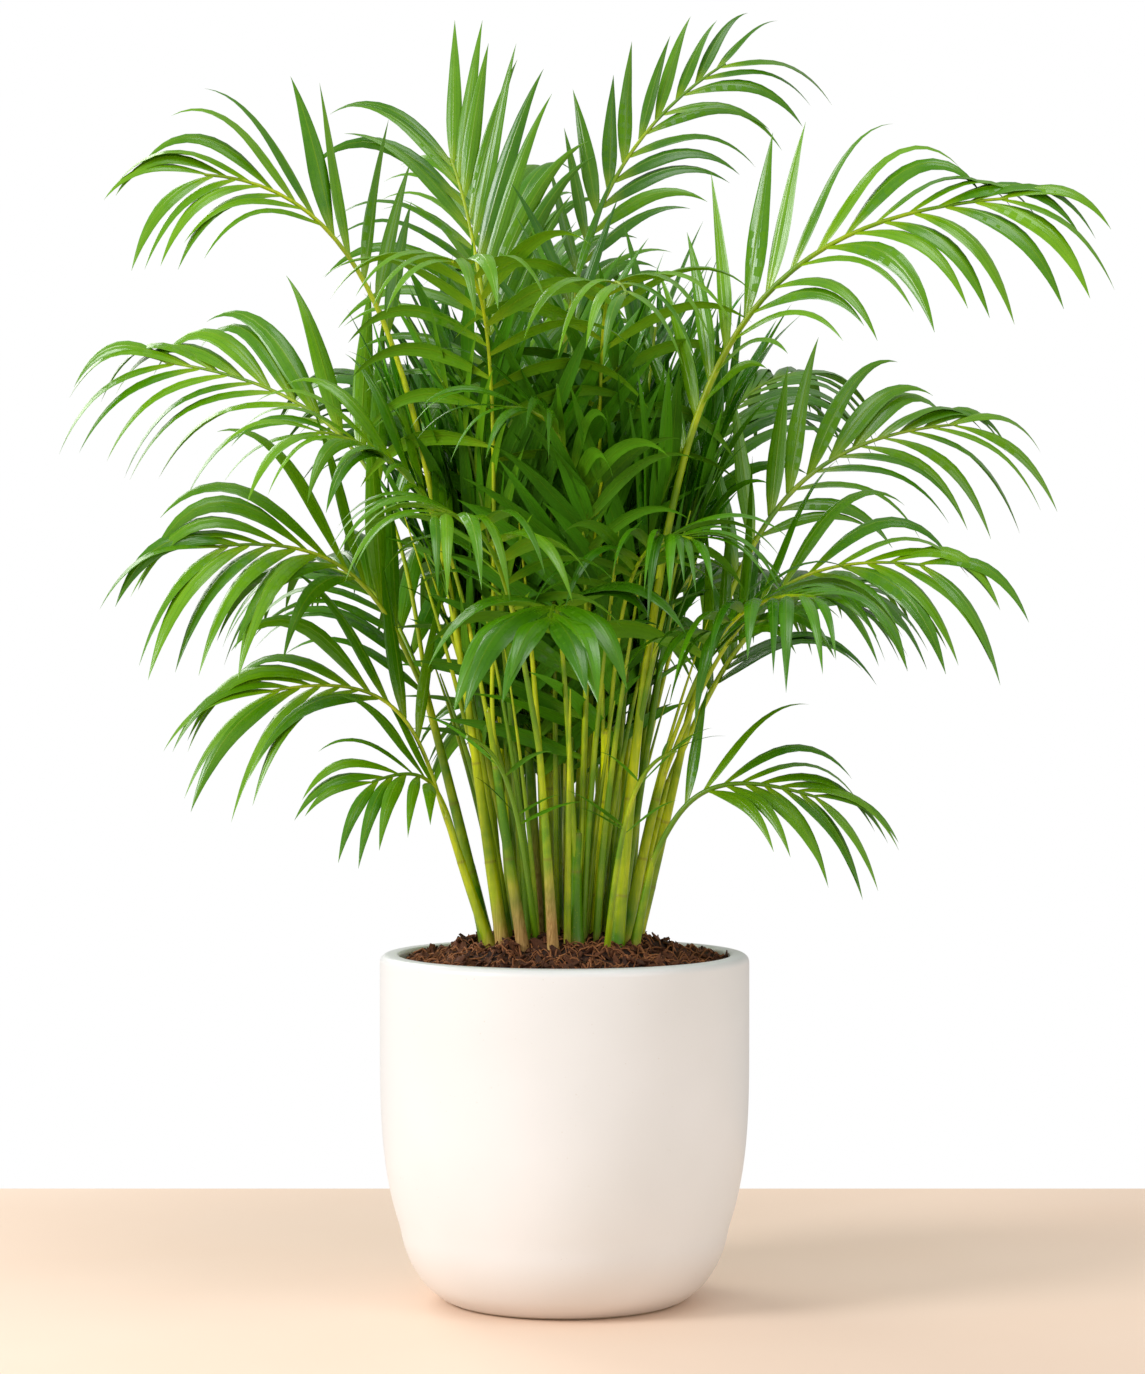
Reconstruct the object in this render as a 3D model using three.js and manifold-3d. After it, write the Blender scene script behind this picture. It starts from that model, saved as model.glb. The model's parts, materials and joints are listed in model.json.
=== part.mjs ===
// Potted bamboo palm: a clump of canes in a round ceramic pot, each cane carrying one or two
// feather fronds. Millimetres, +Z up. The origin is the centre of the pot's flat underside,
// +X is the viewer's right and -Y faces the viewer.
import * as THREE from "three";
import { mergeVertices } from "three/addons/utils/BufferGeometryUtils.js";
import Module from "manifold-3d";

const wasm = await Module();
wasm.setup();

// Sizes of the pot and its potting mix
const POT_HEIGHT = 262;
const RIM_RADIUS = 140;
const FOOT_RADIUS = 95;
const WALL = 15;
const FLOOR = 16;
const LIP_ROUND = 6;
const SWELL = 3.4; // how soon the side climbs out from the foot
const SIDE_HEIGHT = 205; // where the side reaches its full radius
const POT_SIDES = 30;
const OUTER_STEPS = [0, 0.07, 0.18, 0.36, 0.6, 1]; // shares of the side's height with an edge
const INNER_STEPS = [0.2, 0.35, 0.6, 1];
const LIP_TURNS = [0, 45, 90]; // degrees round the outer half of the lip
const MIX_TOP = 265; // the flat crown of the mix, where the canes stand
const MIX_CROWN_RADIUS = 76;
const MIX_EDGE = 250;
const GAP = 0.3; // between pieces that meet
const MERGE_DISTANCE = 1e-4;
const SNAP_GRIDS = [0.01, 0.02, 0.005, 0.05, 0.002]; // tried in turn for a surface's points

// Sizes shared by all canes and fronds
const CANE_SIDES = 6;
const CANE_FLARE = 1.18; // the foot against the cane just above it
const CANE_TAPER = 0.56; // the top against the foot
const FLARE_HEIGHT = 16;
const FORK_SHARE = 0.66; // radius of each of two stalks against the cane they share
const FORK_SPREAD = 0.8; // how far each stands off the cane's middle
const KNEE_PULL = 0.6; // how straight a stalk heads for its knee
const RIB_SIDES = 3;
const RIB_STEPS = 10;
const RIB_TAPER = 0.7;
const RIB_TIP_RADIUS = 1.2;
const BLADE_SIDES = 3; // two edges and a keel
const BLADE_RATIO = 0.092; // width to length of a leaflet
const BLADE_THICKNESS = 0.0125; // of its length
const FIRST_LEAF = 0.5; // pairs of leaflets below the first one
const LEAF_STAGGER = 0.16; // how far the two of a pair stand apart, in pairs
const TIP_CUT = 0.3; // pairs by which the last one is drawn back to the tip
const LEAF_CROWDING = 0.9; // below 1 the leaflets crowd towards the tip
const LAST_PLACE = 0.99;
const LEAF_ANGLE_LOW = 38; // from the rib's direction, degrees
const LEAF_ANGLE_TIP = 20;
const LEAF_LIFT = 18; // the leaflets rise above the plane of the frond, degrees
const LEAF_SHORTEST = 0.62; // the lowest leaflet and the last against the longest
const LEAF_SHARE_START = 0.2; // where on the swell of lengths the lowest leaflet lies
const LEAF_SHARE_RUN = 0.72;
const UNDER_ROLL = 30; // a frond rolled more than this has a side that hangs towards the viewer
const UNDER_SHORT = 0.6; // the first leaflets there against the rest
const UPPER_SHARE = 0.86; // length of the leaflets on its other side, which stand up
const LEAF_BEND = 0.044; // how strongly a level leaflet hangs over, for each mm of its length
const STIFF_ROOT = 0.15; // share of that bend at the leaflet's root
const STIFF_UPRIGHT = 0.45; // share of the bend that is missing where the stalk stands upright
const BEND_STEPS = 12;
const PLACE_SPREAD = 0.1; // how much single leaflets differ, in pairs
const LENGTH_SPREAD = 0.16;
const ANGLE_SPREAD = 10; // degrees
const LIFT_SPREAD = 16;
const BEND_SPREAD = 0.4;
const FIRST_SEED = 101;
const SEED_STEP = 37;
// Sections of a leaflet: share of its length and share of its width
const BLADE_SECTIONS = [
  [0, 0],
  [0.24, 0.92],
  [0.62, 0.8],
  [1, 0],
];
// Swings upwards and shares of the length that a leaflet tries in a crowded place
const SWINGS = [
  [0, 1],
  [10, 1],
  [-10, 1],
  [20, 0.92],
  [-20, 0.92],
  [0, 0.78],
  [30, 0.78],
  [-30, 0.78],
  [0, 0.58],
];

// Canes: foot on the mix, top where the frond or the pair of fronds leaves, radius at the foot.
// Rows run from the viewer's left to right, then round the back.
const canes = {
  left_low: { foot: [-54, -26], top: [-88, -30, 366], radius: 5.0 },
  left_mid: { foot: [-58, -2], top: [-104, 0, 455], radius: 5.6 },
  left_top: { foot: [-45, -40], top: [-72, -42, 452], radius: 5.6 },
  left_inner: { foot: [-30, -50], top: [-56, -56, 446], radius: 5.0 },
  crown_left: { foot: [-20, -14], top: [-31, 4, 470], radius: 5.4 },
  crown_right: { foot: [-13, 16], top: [-9, 25, 480], radius: 5.4 },
  front: { foot: [9, -48], top: [10, -50, 355], radius: 6.8 },
  front_right: { foot: [22, -28], top: [31, -42, 430], radius: 4.8 },
  front_left: { foot: [-8, -64], top: [-18, -84, 416], radius: 4.6 },
  right_top: { foot: [38, -48], top: [57, -50, 452], radius: 6.4 },
  right_mid: { foot: [44, -24], top: [74, -30, 400], radius: 5.2 },
  right_low: { foot: [51, -42], top: [66, -47, 336], radius: 4.6 },
  right_high: { foot: [53, 2], top: [96, 2, 450], radius: 5.2 },
  back_left: { foot: [-32, 40], top: [-52, 72, 440], radius: 5.6 },
  back: { foot: [2, 50], top: [2, 88, 460], radius: 5.8 },
  back_top: { foot: [-20, 66], top: [-28, 104, 462], radius: 5.2 },
  back_right: { foot: [30, 34], top: [52, 68, 440], radius: 5.6 },
  back_outer_left: { foot: [-58, 32], top: [-88, 56, 380], radius: 5.0 },
  back_outer_right: { foot: [51, 30], top: [80, 52, 390], radius: 5.0 },
  back_low: { foot: [14, 68], top: [24, 108, 370], radius: 5.2 },
};

// Fronds on canes: the cane, the knee where the stalk turns over, the tip, the leafy share of the
// stalk, the share of that which is bare below, the pairs of leaflets, the longest leaflet, the
// roll of the upper face towards the viewer. Two rows go on with the share of its length that a
// leaflet has which stands up, and with how much wider the low leaflets on the left stand
const CANE_FRONDS = [
  ["left_low", [-122, -45, 480], [-216, -62, 462], 0.74, 0.3, 9, 160, 60],
  ["left_low", [-102, -64, 410], [-140, -98, 396], 0.85, 0.2, 6, 112, 45],
  ["left_mid", [-156, -50, 580], [-252, -98, 568], 0.82, 0.25, 10, 174, 60],
  ["left_mid", [-138, 50, 690], [-314, 104, 718], 0.68, 0.3, 11, 170, 62],
  ["left_top", [-132, -75, 834], [-260, -120, 836], 0.44, 0.45, 11, 150, 62],
  ["left_inner", [-95, -78, 640], [-178, -130, 650], 0.62, 0.2, 9, 135, 35],
  ["crown_left", [-62, 35, 800], [-88, 66, 872], 0.6, 0, 13, 170, 82, 0.92, 26],
  ["crown_right", [-10, 95, 866], [128, 152, 960], 0.6, 0.2, 13, 140, 64, 0.7],
  ["right_top", [105, -85, 808], [318, -144, 816], 0.66, 0.06, 14, 162, 60],
  ["right_high", [165, 60, 656], [310, 118, 670], 0.72, 0.1, 11, 152, 62],
  ["right_mid", [145, -65, 570], [262, -108, 554], 0.78, 0.1, 10, 154, 58],
  ["right_low", [102, -62, 410], [186, -86, 384], 0.74, 0.2, 8, 128, 55],
  ["front", [-4, -95, 552], [-10, -190, 515], 0.42, 0, 7, 125, 0],
  ["front", [24, -84, 675], [-42, -122, 668], 0.5, 0, 9, 118, 25],
  ["front_right", [46, -80, 585], [92, -150, 572], 0.55, 0, 8, 118, 10],
  ["front_right", [22, -74, 800], [44, -205, 742], 0.55, 0, 9, 125, 0],
  ["left_inner", [-48, -100, 780], [-78, -205, 764], 0.55, 0, 9, 128, 0],
  ["front_left", [-48, -140, 600], [-92, -232, 586], 0.6, 0, 9, 125, 10],
  ["right_mid", [118, -104, 540], [176, -200, 530], 0.66, 0, 9, 125, 20],
  ["back_left", [-95, 150, 690], [-165, 240, 720], 0.62, 0, 10, 145, 10],
  ["back_left", [-62, 190, 600], [-112, 300, 566], 0.64, 0, 9, 140, 0],
  ["back", [-5, 165, 790], [-28, 265, 806], 0.6, 0, 11, 150, 0],
  ["back", [24, 200, 640], [62, 315, 612], 0.62, 0, 10, 145, 0],
  ["back_top", [-40, 148, 812], [-66, 226, 868], 0.6, 0, 11, 145, 0],
  ["back_right", [110, 150, 700], [190, 245, 720], 0.62, 0, 10, 145, 10],
  ["back_right", [96, 180, 580], [156, 290, 556], 0.66, 0, 9, 135, 0],
  ["back_outer_left", [-135, 128, 560], [-215, 190, 560], 0.72, 0, 9, 145, 20],
  ["back_outer_right", [150, 118, 540], [235, 172, 545], 0.72, 0, 9, 140, 20],
  ["back_low", [22, 230, 540], [36, 330, 490], 0.7, 0, 9, 140, 0],
  ["back_low", [-34, 196, 470], [-70, 285, 430], 0.76, 0, 8, 130, 0],
];

// Young fronds that rise from the mix: name, foot, radius there, knee, tip, leafy share, pairs of
// leaflets, longest leaflet and roll
const YOUNG_FRONDS = [
  ["left", [-40, -14], 3.3, [-84, -24, 560], [-118, -22, 640], 0.55, 7, 120, 20],
  ["left_front", [-26, -32], 3.2, [-52, -40, 620], [-90, -75, 690], 0.55, 7, 120, 20],
  ["front_left", [-20, -42], 3.0, [-38, -84, 420], [-70, -140, 430], 0.55, 6, 112, 10],
  ["front_right", [31, -61], 3.0, [46, -100, 410], [80, -150, 420], 0.55, 6, 112, 10],
  ["right", [40, -8], 3.3, [88, 0, 600], [130, 20, 690], 0.55, 7, 120, 20],
  ["heart", [4, -22], 3.3, [6, -26, 640], [6, -4, 770], 0.6, 8, 125, 20],
  ["heart_right", [34, 12], 3.2, [54, 24, 620], [70, 40, 740], 0.58, 7, 125, 20],
  ["heart_left", [-36, 12], 3.2, [-76, 34, 620], [-100, 60, 720], 0.58, 7, 125, 20],
];

const radians = THREE.MathUtils.degToRad;
const lerp = THREE.MathUtils.lerp;
// A triangle drawn in a circle of radius 1
const TRIANGLE_HALF_BASE = Math.sin(Math.PI / 3);
const TRIANGLE_BASE_DEPTH = 0.5;
const TRIANGLE_HEIGHT = 1.5;
const UP = new THREE.Vector3(0, 0, 1);
const VIEWER = new THREE.Vector3(0, -1, 0);

// A small seeded generator of numbers from 0 to 1.
function seeded(seed) {
  let a = seed >>> 0;
  return () => {
    a = (a + 0x6d2b79f5) >>> 0;
    let t = Math.imul(a ^ (a >>> 15), a | 1);
    t ^= t + Math.imul(t ^ (t >>> 7), t | 61);
    return ((t ^ (t >>> 14)) >>> 0) / 4294967296;
  };
}

// A closed tube of a few sides between two ends. place(t, x, y) says where a point goes that
// stands t of the way along at x, y round the middle.
function tube(sides, steps, place) {
  const geometry = new THREE.CylinderGeometry(1, 1, 1, sides, steps);
  const position = geometry.getAttribute("position");
  for (let i = 0; i < position.count; i++) {
    const p = place(position.getY(i) + 0.5, position.getX(i), position.getZ(i));
    position.setXYZ(i, p.x, p.y, p.z);
  }
  return geometry;
}

function toSolid(geometry) {
  const bare = new THREE.BufferGeometry().setAttribute("position", geometry.getAttribute("position"));
  if (geometry.index) bare.setIndex(geometry.index);
  const merged = mergeVertices(bare, MERGE_DISTANCE);
  const corners = merged.index.array;
  const triVerts = [];
  for (let i = 0; i < corners.length; i += 3) {
    const [a, b, c] = corners.slice(i, i + 3);
    if (a !== b && b !== c && c !== a) triVerts.push(a, b, c);
  }
  const vertProperties = new Float32Array(merged.getAttribute("position").array);
  const mesh = new wasm.Mesh({ numProp: 3, vertProperties, triVerts: new Uint32Array(triVerts) });
  return new wasm.Manifold(mesh);
}

function everyEdgeIsShared(corners) {
  const uses = new Map();
  for (let i = 0; i < corners.length; i++) {
    const next = corners[i % 3 === 2 ? i - 2 : i + 1];
    const edge = Math.min(corners[i], next) + ":" + Math.max(corners[i], next);
    uses.set(edge, (uses.get(edge) ?? 0) + 1);
  }
  return [...uses.values()].every((count) => count === 2);
}

// The solid's surface on a fine grid, coarse enough that no sliver at a joint folds on itself.
function toGeometry(solid) {
  const mesh = solid.getMesh();
  for (const grid of SNAP_GRIDS) {
    const numbers = new Map();
    const positions = [];
    const renamed = Array.from({ length: mesh.numVert }, (_, i) => {
      const start = i * mesh.numProp;
      const exact = mesh.vertProperties.subarray(start, start + 3);
      const p = Array.from(exact, (x) => Math.round(x / grid) * grid);
      const key = p.map((x) => x.toFixed(4)).join(" ");
      if (!numbers.has(key)) {
        numbers.set(key, numbers.size);
        positions.push(...p);
      }
      return numbers.get(key);
    });
    const corners = [];
    for (let i = 0; i < mesh.triVerts.length; i += 3) {
      const [a, b, c] = Array.from(mesh.triVerts.subarray(i, i + 3), (corner) => renamed[corner]);
      if (a !== b && b !== c && c !== a) corners.push(a, b, c);
    }
    if (!everyEdgeIsShared(corners)) continue;
    const geometry = new THREE.BufferGeometry();
    geometry.setAttribute("position", new THREE.Float32BufferAttribute(positions, 3));
    geometry.setIndex(corners);
    if (toSolid(geometry).decompose().length > 1) continue;
    geometry.computeVertexNormals();
    return geometry;
  }
  throw new Error("a surface doesn't close");
}

// The pot's side at a height: it climbs steeply out of the foot and then stands nearly upright.
function sideRadius(z) {
  const t = Math.min(z / SIDE_HEIGHT, 1);
  return FOOT_RADIUS + (RIM_RADIUS - FOOT_RADIUS) * (1 - Math.pow(1 - t, SWELL));
}

// Points of the side's profile at shares of its height, moved in by some millimetres.
function sideProfile(shares, inwards) {
  return shares.map((t) => new THREE.Vector2(sideRadius(t * SIDE_HEIGHT) - inwards, t * SIDE_HEIGHT));
}

// A quarter of the lip, turned about a middle radius.
function lipProfile(middleRadius, size, firstTurn) {
  return LIP_TURNS.map((turn) => {
    const angle = radians(firstTurn + turn);
    const height = POT_HEIGHT - size + size * Math.sin(angle);
    return new THREE.Vector2(middleRadius + size * Math.cos(angle), height);
  });
}

function potGeometry() {
  const innerLip = LIP_ROUND / 2;
  const profile = [
    new THREE.Vector2(0, 0),
    ...sideProfile(OUTER_STEPS, 0),
    ...lipProfile(RIM_RADIUS - LIP_ROUND, LIP_ROUND, 0),
    ...lipProfile(RIM_RADIUS - WALL + innerLip, innerLip, 90),
    ...sideProfile([...INNER_STEPS].reverse(), WALL),
    new THREE.Vector2(FOOT_RADIUS - WALL, FLOOR),
    new THREE.Vector2(0, FLOOR),
  ];
  return new THREE.LatheGeometry(profile, POT_SIDES).rotateX(Math.PI / 2);
}

function mixGeometry() {
  const inwards = WALL + 2 * GAP;
  const profile = [
    new THREE.Vector2(0, FLOOR + GAP),
    new THREE.Vector2(FOOT_RADIUS - inwards, FLOOR + GAP),
    ...sideProfile(INNER_STEPS, inwards),
    new THREE.Vector2(RIM_RADIUS - inwards, MIX_EDGE),
    new THREE.Vector2(MIX_CROWN_RADIUS, MIX_TOP),
    new THREE.Vector2(0, MIX_TOP),
  ];
  return new THREE.LatheGeometry(profile, POT_SIDES).rotateX(Math.PI / 2);
}

// A lathe turned about Z has its seam and poles merged and its faces pointing out.
function turned(geometry) {
  const solid = toSolid(geometry);
  if (solid.volume() > 0) return solid;
  const index = geometry.index;
  for (let i = 0; i < index.count; i += 3) {
    const b = index.getX(i + 1);
    index.setX(i + 1, index.getX(i + 2));
    index.setX(i + 2, b);
  }
  return toSolid(geometry);
}

function caneFoot(cane) {
  return new THREE.Vector3(cane.foot[0], cane.foot[1], MIX_TOP + GAP);
}

// A cane stands on a flat foot, flares there, and tapers to a flat top.
function caneSolid(cane) {
  const foot = caneFoot(cane);
  const top = new THREE.Vector3(...cane.top);
  const flare = FLARE_HEIGHT / (top.z - foot.z);
  const stations = [
    [0, CANE_FLARE],
    [flare, 1],
    [1, CANE_TAPER],
  ];
  return toSolid(
    tube(CANE_SIDES, 2, (t, x, y) => {
      const [up, share] = stations[Math.round(2 * t)];
      const radius = cane.radius * share;
      return foot.clone().lerp(top, up).add(new THREE.Vector3(-x * radius, y * radius, 0));
    }),
  );
}

// Two fronds on one cane leave from its two halves, on the side each one heads for.
function forkShift(row, rows) {
  const [one, two] = rows.filter((other) => other[0] === row[0]);
  if (!two) return new THREE.Vector3();
  const apart = new THREE.Vector3(...one[1]).sub(new THREE.Vector3(...two[1])).setZ(0).normalize();
  return apart.multiplyScalar(canes[row[0]].radius * CANE_TAPER * FORK_SPREAD * (row === one ? 1 : -1));
}

function caneFrond(row, rowNumber, rows) {
  const [on, knee, tip, leafy, bare, pairs, leaflet, roll, upper = UPPER_SHARE, skew = 0] = row;
  const isSecond = rows.slice(0, rowNumber).some((other) => other[0] === on);
  const isForked = rows.filter((other) => other[0] === on).length > 1;
  const name = "frond_" + on + (isSecond ? "_2" : "");
  const start = new THREE.Vector3(...canes[on].top).add(forkShift(row, rows));
  start.z += GAP;
  const radius = canes[on].radius * CANE_TAPER * (isForked ? FORK_SHARE : 1);
  return { name, start, radius, knee, tip, leafy, bare, pairs, leaflet, roll, upper, skew };
}

function youngFrond([name, foot, radius, knee, tip, leafy, pairs, leaflet, roll]) {
  const start = new THREE.Vector3(foot[0], foot[1], MIX_TOP + GAP);
  const plain = { bare: 0, upper: 1, skew: 0 };
  return { name: "frond_young_" + name, start, radius, knee, tip, leafy, pairs, leaflet, roll, ...plain };
}

const fronds = [...CANE_FRONDS.map(caneFrond), ...YOUNG_FRONDS.map(youngFrond)];

function frondCurve(frond) {
  const knee = new THREE.Vector3(...frond.knee);
  const tip = new THREE.Vector3(...frond.tip);
  return new THREE.CubicBezierCurve3(frond.start, frond.start.clone().lerp(knee, KNEE_PULL), knee, tip);
}

function ribRadius(frond, t) {
  return lerp(frond.radius, RIB_TIP_RADIUS, Math.pow(t, RIB_TAPER));
}

// The stalk's direction and its upper side at a share of its length.
function stalkFrame(curve, t) {
  const at = curve.getPointAt(t);
  const along = curve.getTangentAt(t);
  const upper = UP.clone().addScaledVector(along, -along.z).normalize();
  return { at, along, upper };
}

function ribSolid(frond) {
  const curve = frondCurve(frond);
  const frames = Array.from({ length: RIB_STEPS + 1 }, (_, i) => stalkFrame(curve, i / RIB_STEPS));
  return toSolid(
    tube(RIB_SIDES, RIB_STEPS, (t, x, y) => {
      const { at, along, upper } = frames[Math.round(t * RIB_STEPS)];
      const side = new THREE.Vector3().crossVectors(along, upper);
      const radius = ribRadius(frond, t);
      const p = at.clone().addScaledVector(side, x * radius).addScaledVector(upper, y * radius);
      if (t < 0.5 / RIB_STEPS) p.z = at.z;
      return p;
    }),
  );
}

// The frame that leaflets leave from: the upper side is rolled towards the viewer.
function leafFrame(frond, curve, t) {
  const { at, along, upper } = stalkFrame(curve, t);
  const shown = VIEWER.clone().addScaledVector(along, -VIEWER.dot(along)).normalize();
  const turn = Math.min(radians(frond.roll), upper.angleTo(shown));
  const sense = Math.sign(new THREE.Vector3().crossVectors(upper, shown).dot(along));
  return { at, along, upper: upper.applyAxisAngle(along, turn * sense) };
}

// How long a leaflet is against the longest one: short at the foot of the frond and at its tip.
function leafletShare(t) {
  const swell = Math.sin(Math.PI * (LEAF_SHARE_START + LEAF_SHARE_RUN * t));
  return lerp(LEAF_SHORTEST, 1, swell);
}

// The side of a rolled frond that hangs towards the viewer.
function isUnder(frond, hand) {
  return frond.roll > UNDER_ROLL && hand === (frond.tip[0] < 0 ? -1 : 1);
}

// A frond rolled over to one side has leaflets that hang towards the viewer, the lowest of them
// short, and leaflets that stand up.
function handShare(frond, hand, t) {
  if (frond.roll <= UNDER_ROLL) return 1;
  return isUnder(frond, hand) ? lerp(UNDER_SHORT, 1, t) : frond.upper;
}

// All leaflets of a frond, from the lowest pair to the tip.
function leafletsOf(frond, number) {
  const random = seeded(FIRST_SEED + SEED_STEP * number);
  const found = [];
  for (let i = 0; i < frond.pairs; i++) {
    for (const hand of [-1, 1]) {
      const jitter = [random(), random(), random(), random()].map((x) => x - 0.5);
      const turn = i + FIRST_LEAF + LEAF_STAGGER * hand + PLACE_SPREAD * jitter[0];
      const t = Math.min(1, turn / (frond.pairs - TIP_CUT));
      if (isUnder(frond, hand) && t < frond.bare) continue;
      const share = leafletShare(t) * handShare(frond, hand, t);
      const length = frond.leaflet * share * (1 + LENGTH_SPREAD * jitter[1]);
      const forwards = lerp(LEAF_ANGLE_LOW, LEAF_ANGLE_TIP, t);
      found.push({
        place: Math.min(1 - frond.leafy * (1 - Math.pow(t, LEAF_CROWDING)), LAST_PLACE),
        hand,
        length,
        angle: forwards + (hand < 0 ? frond.skew * (1 - t) : 0) + ANGLE_SPREAD * jitter[2],
        lift: LEAF_LIFT + LIFT_SPREAD * jitter[3],
        bend: LEAF_BEND * length * (1 + BEND_SPREAD * jitter[2]),
      });
    }
  }
  return found;
}

// A leaflet leaves the rib forwards and to its side. It hangs over more the further out it is and
// the more level it lies.
function leafletPath(frame, leaflet) {
  const { at, along, upper } = frame;
  const side = new THREE.Vector3().crossVectors(along, upper).multiplyScalar(leaflet.hand);
  const lift = radians(leaflet.lift);
  const angle = radians(leaflet.angle);
  const out = side.multiplyScalar(Math.cos(lift)).addScaledVector(upper, Math.sin(lift));
  const direction = along.clone().multiplyScalar(Math.cos(angle)).addScaledVector(out, Math.sin(angle));
  const across = new THREE.Vector3().crossVectors(direction, upper).normalize();
  const bend = leaflet.bend * (1 - STIFF_UPRIGHT * Math.max(0, along.z));
  const path = [];
  const point = at.clone();
  for (let i = 0; i <= BEND_STEPS; i++) {
    across.addScaledVector(direction, -across.dot(direction)).normalize();
    path.push({ at: point.clone(), along: direction.clone(), across: across.clone() });
    point.addScaledVector(direction, leaflet.length / BEND_STEPS);
    const level = Math.sqrt(Math.max(0, 1 - direction.z * direction.z));
    direction.z -= (bend * level * lerp(STIFF_ROOT, 1, i / BEND_STEPS)) / BEND_STEPS;
    direction.normalize();
  }
  return path;
}

// The blade is a keeled sliver: a narrow root sunk in the rib, two wider sections and a tip.
// With some room added it stands for the space that has to be free for it.
function leafletSolid(frame, leaflet, room) {
  const path = leafletPath(frame, leaflet);
  const width = leaflet.length * BLADE_RATIO;
  const thickness = leaflet.length * BLADE_THICKNESS;
  return toSolid(
    tube(BLADE_SIDES, BLADE_SECTIONS.length - 1, (t, x, y) => {
      const [share, breadth] = BLADE_SECTIONS[Math.round(t * (BLADE_SECTIONS.length - 1))];
      const { at, along, across } = path[Math.round(share * BEND_STEPS)];
      const face = new THREE.Vector3().crossVectors(across, along);
      const spread = (x / TRIANGLE_HALF_BASE) * ((width * breadth) / 2 + room);
      const height = (y + TRIANGLE_BASE_DEPTH) / TRIANGLE_HEIGHT;
      const rise = height * thickness * Math.sqrt(breadth) + 2 * room * y;
      return at.clone().addScaledVector(across, spread).addScaledVector(face, rise);
    }),
  );
}

function boxesMeet(a, b) {
  return [0, 1, 2].every((k) => a.min[k] <= b.max[k] && b.min[k] <= a.max[k]);
}

// A leaflet that touches a limb or another frond swings or shortens, or is left out.
function fittedLeaflet(frame, leaflet, taken, own) {
  for (const [swing, share] of SWINGS) {
    const tried = { ...leaflet, lift: leaflet.lift + swing, length: leaflet.length * share };
    const space = leafletSolid(frame, tried, GAP);
    const box = space.boundingBox();
    const isFree = (solid, others) =>
      others.every((other) => !boxesMeet(box, other.box) || solid.intersect(other.solid).isEmpty());
    const solid = leafletSolid(frame, tried, 0);
    if (isFree(space, taken) && isFree(solid, own)) return { solid, box: solid.boundingBox() };
  }
  return null;
}

function largestBody(solid) {
  return solid.decompose().sort((a, b) => b.volume() - a.volume())[0];
}

function buildFronds(caneSolids) {
  const boxed = (solid) => ({ solid, box: solid.boundingBox() });
  const limbs = caneSolids.map(boxed);
  const ribs = fronds.map((frond) => boxed(ribSolid(frond)));
  const blades = fronds.map(() => []);
  fronds.forEach((frond, number) => {
    const curve = frondCurve(frond);
    const otherRibs = ribs.filter((_, other) => other !== number);
    const otherBlades = blades.slice(0, number).flat();
    const taken = [...limbs, ...otherRibs, ...otherBlades];
    for (const leaflet of leafletsOf(frond, number)) {
      const made = fittedLeaflet(leafFrame(frond, curve, leaflet.place), leaflet, taken, blades[number]);
      if (made) blades[number].push(made);
    }
  });
  return ribs.map((rib, number) =>
    largestBody(wasm.Manifold.union([rib.solid, ...blades[number].map((blade) => blade.solid)])),
  );
}

const palm = new THREE.Group();

function add(name, geometry, material) {
  const mesh = new THREE.Mesh(geometry, material);
  mesh.name = name;
  palm.add(mesh);
  return mesh;
}

const glaze = new THREE.MeshStandardMaterial({ color: 0xf2efe9, roughness: 0.45, metalness: 0 });
const bark = new THREE.MeshStandardMaterial({ color: 0x4a2a1c, roughness: 0.95, metalness: 0 });
const caneSkin = new THREE.MeshStandardMaterial({ color: 0x86a83a, roughness: 0.5, metalness: 0 });
const leafSkin = new THREE.MeshStandardMaterial({ color: 0x3f8f2a, roughness: 0.4, metalness: 0 });

add("pot", toGeometry(turned(potGeometry())), glaze);
add("potting_mix", toGeometry(turned(mixGeometry())), bark);

const caneSolids = Object.values(canes).map((cane) => caneSolid(cane));
Object.keys(canes).forEach((name, i) => add("cane_" + name, toGeometry(caneSolids[i]), caneSkin));

const frondSolids = buildFronds(caneSolids);
fronds.forEach((frond, i) => add(frond.name, toGeometry(frondSolids[i]), leafSkin));

export default palm;
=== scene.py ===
# %% [markdown]
# # A potted bamboo palm
#
# The plant is a clump of thin canes in a white ceramic pot. Every cane carries one or two feather
# fronds: a stalk that arches outwards, with narrow leaflets in pairs along it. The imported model
# holds the same plant in plain solids. This lesson keeps its sizes and its place, and puts finer
# pieces over it: first the view, then the pot, the bark in it, the canes, the stalks and leaflets.

import json
import math

import bmesh
import bpy
import numpy as np
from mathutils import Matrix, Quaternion, Vector, noise

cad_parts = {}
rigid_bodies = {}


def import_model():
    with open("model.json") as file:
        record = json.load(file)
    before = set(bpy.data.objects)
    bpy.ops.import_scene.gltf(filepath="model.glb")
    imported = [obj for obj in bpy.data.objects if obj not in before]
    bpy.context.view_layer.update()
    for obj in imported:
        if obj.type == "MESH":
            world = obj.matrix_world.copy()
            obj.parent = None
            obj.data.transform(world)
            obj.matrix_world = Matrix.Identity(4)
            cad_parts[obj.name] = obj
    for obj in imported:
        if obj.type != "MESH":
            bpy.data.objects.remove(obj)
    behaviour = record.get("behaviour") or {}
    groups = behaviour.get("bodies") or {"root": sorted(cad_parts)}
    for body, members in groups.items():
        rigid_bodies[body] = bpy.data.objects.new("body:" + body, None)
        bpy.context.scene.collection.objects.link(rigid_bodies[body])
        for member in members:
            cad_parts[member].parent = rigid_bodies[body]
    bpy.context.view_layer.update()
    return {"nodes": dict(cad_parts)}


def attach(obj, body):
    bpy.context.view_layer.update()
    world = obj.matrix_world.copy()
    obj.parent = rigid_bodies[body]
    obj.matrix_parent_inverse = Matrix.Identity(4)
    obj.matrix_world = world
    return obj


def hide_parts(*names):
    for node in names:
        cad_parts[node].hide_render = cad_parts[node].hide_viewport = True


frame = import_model()
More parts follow.
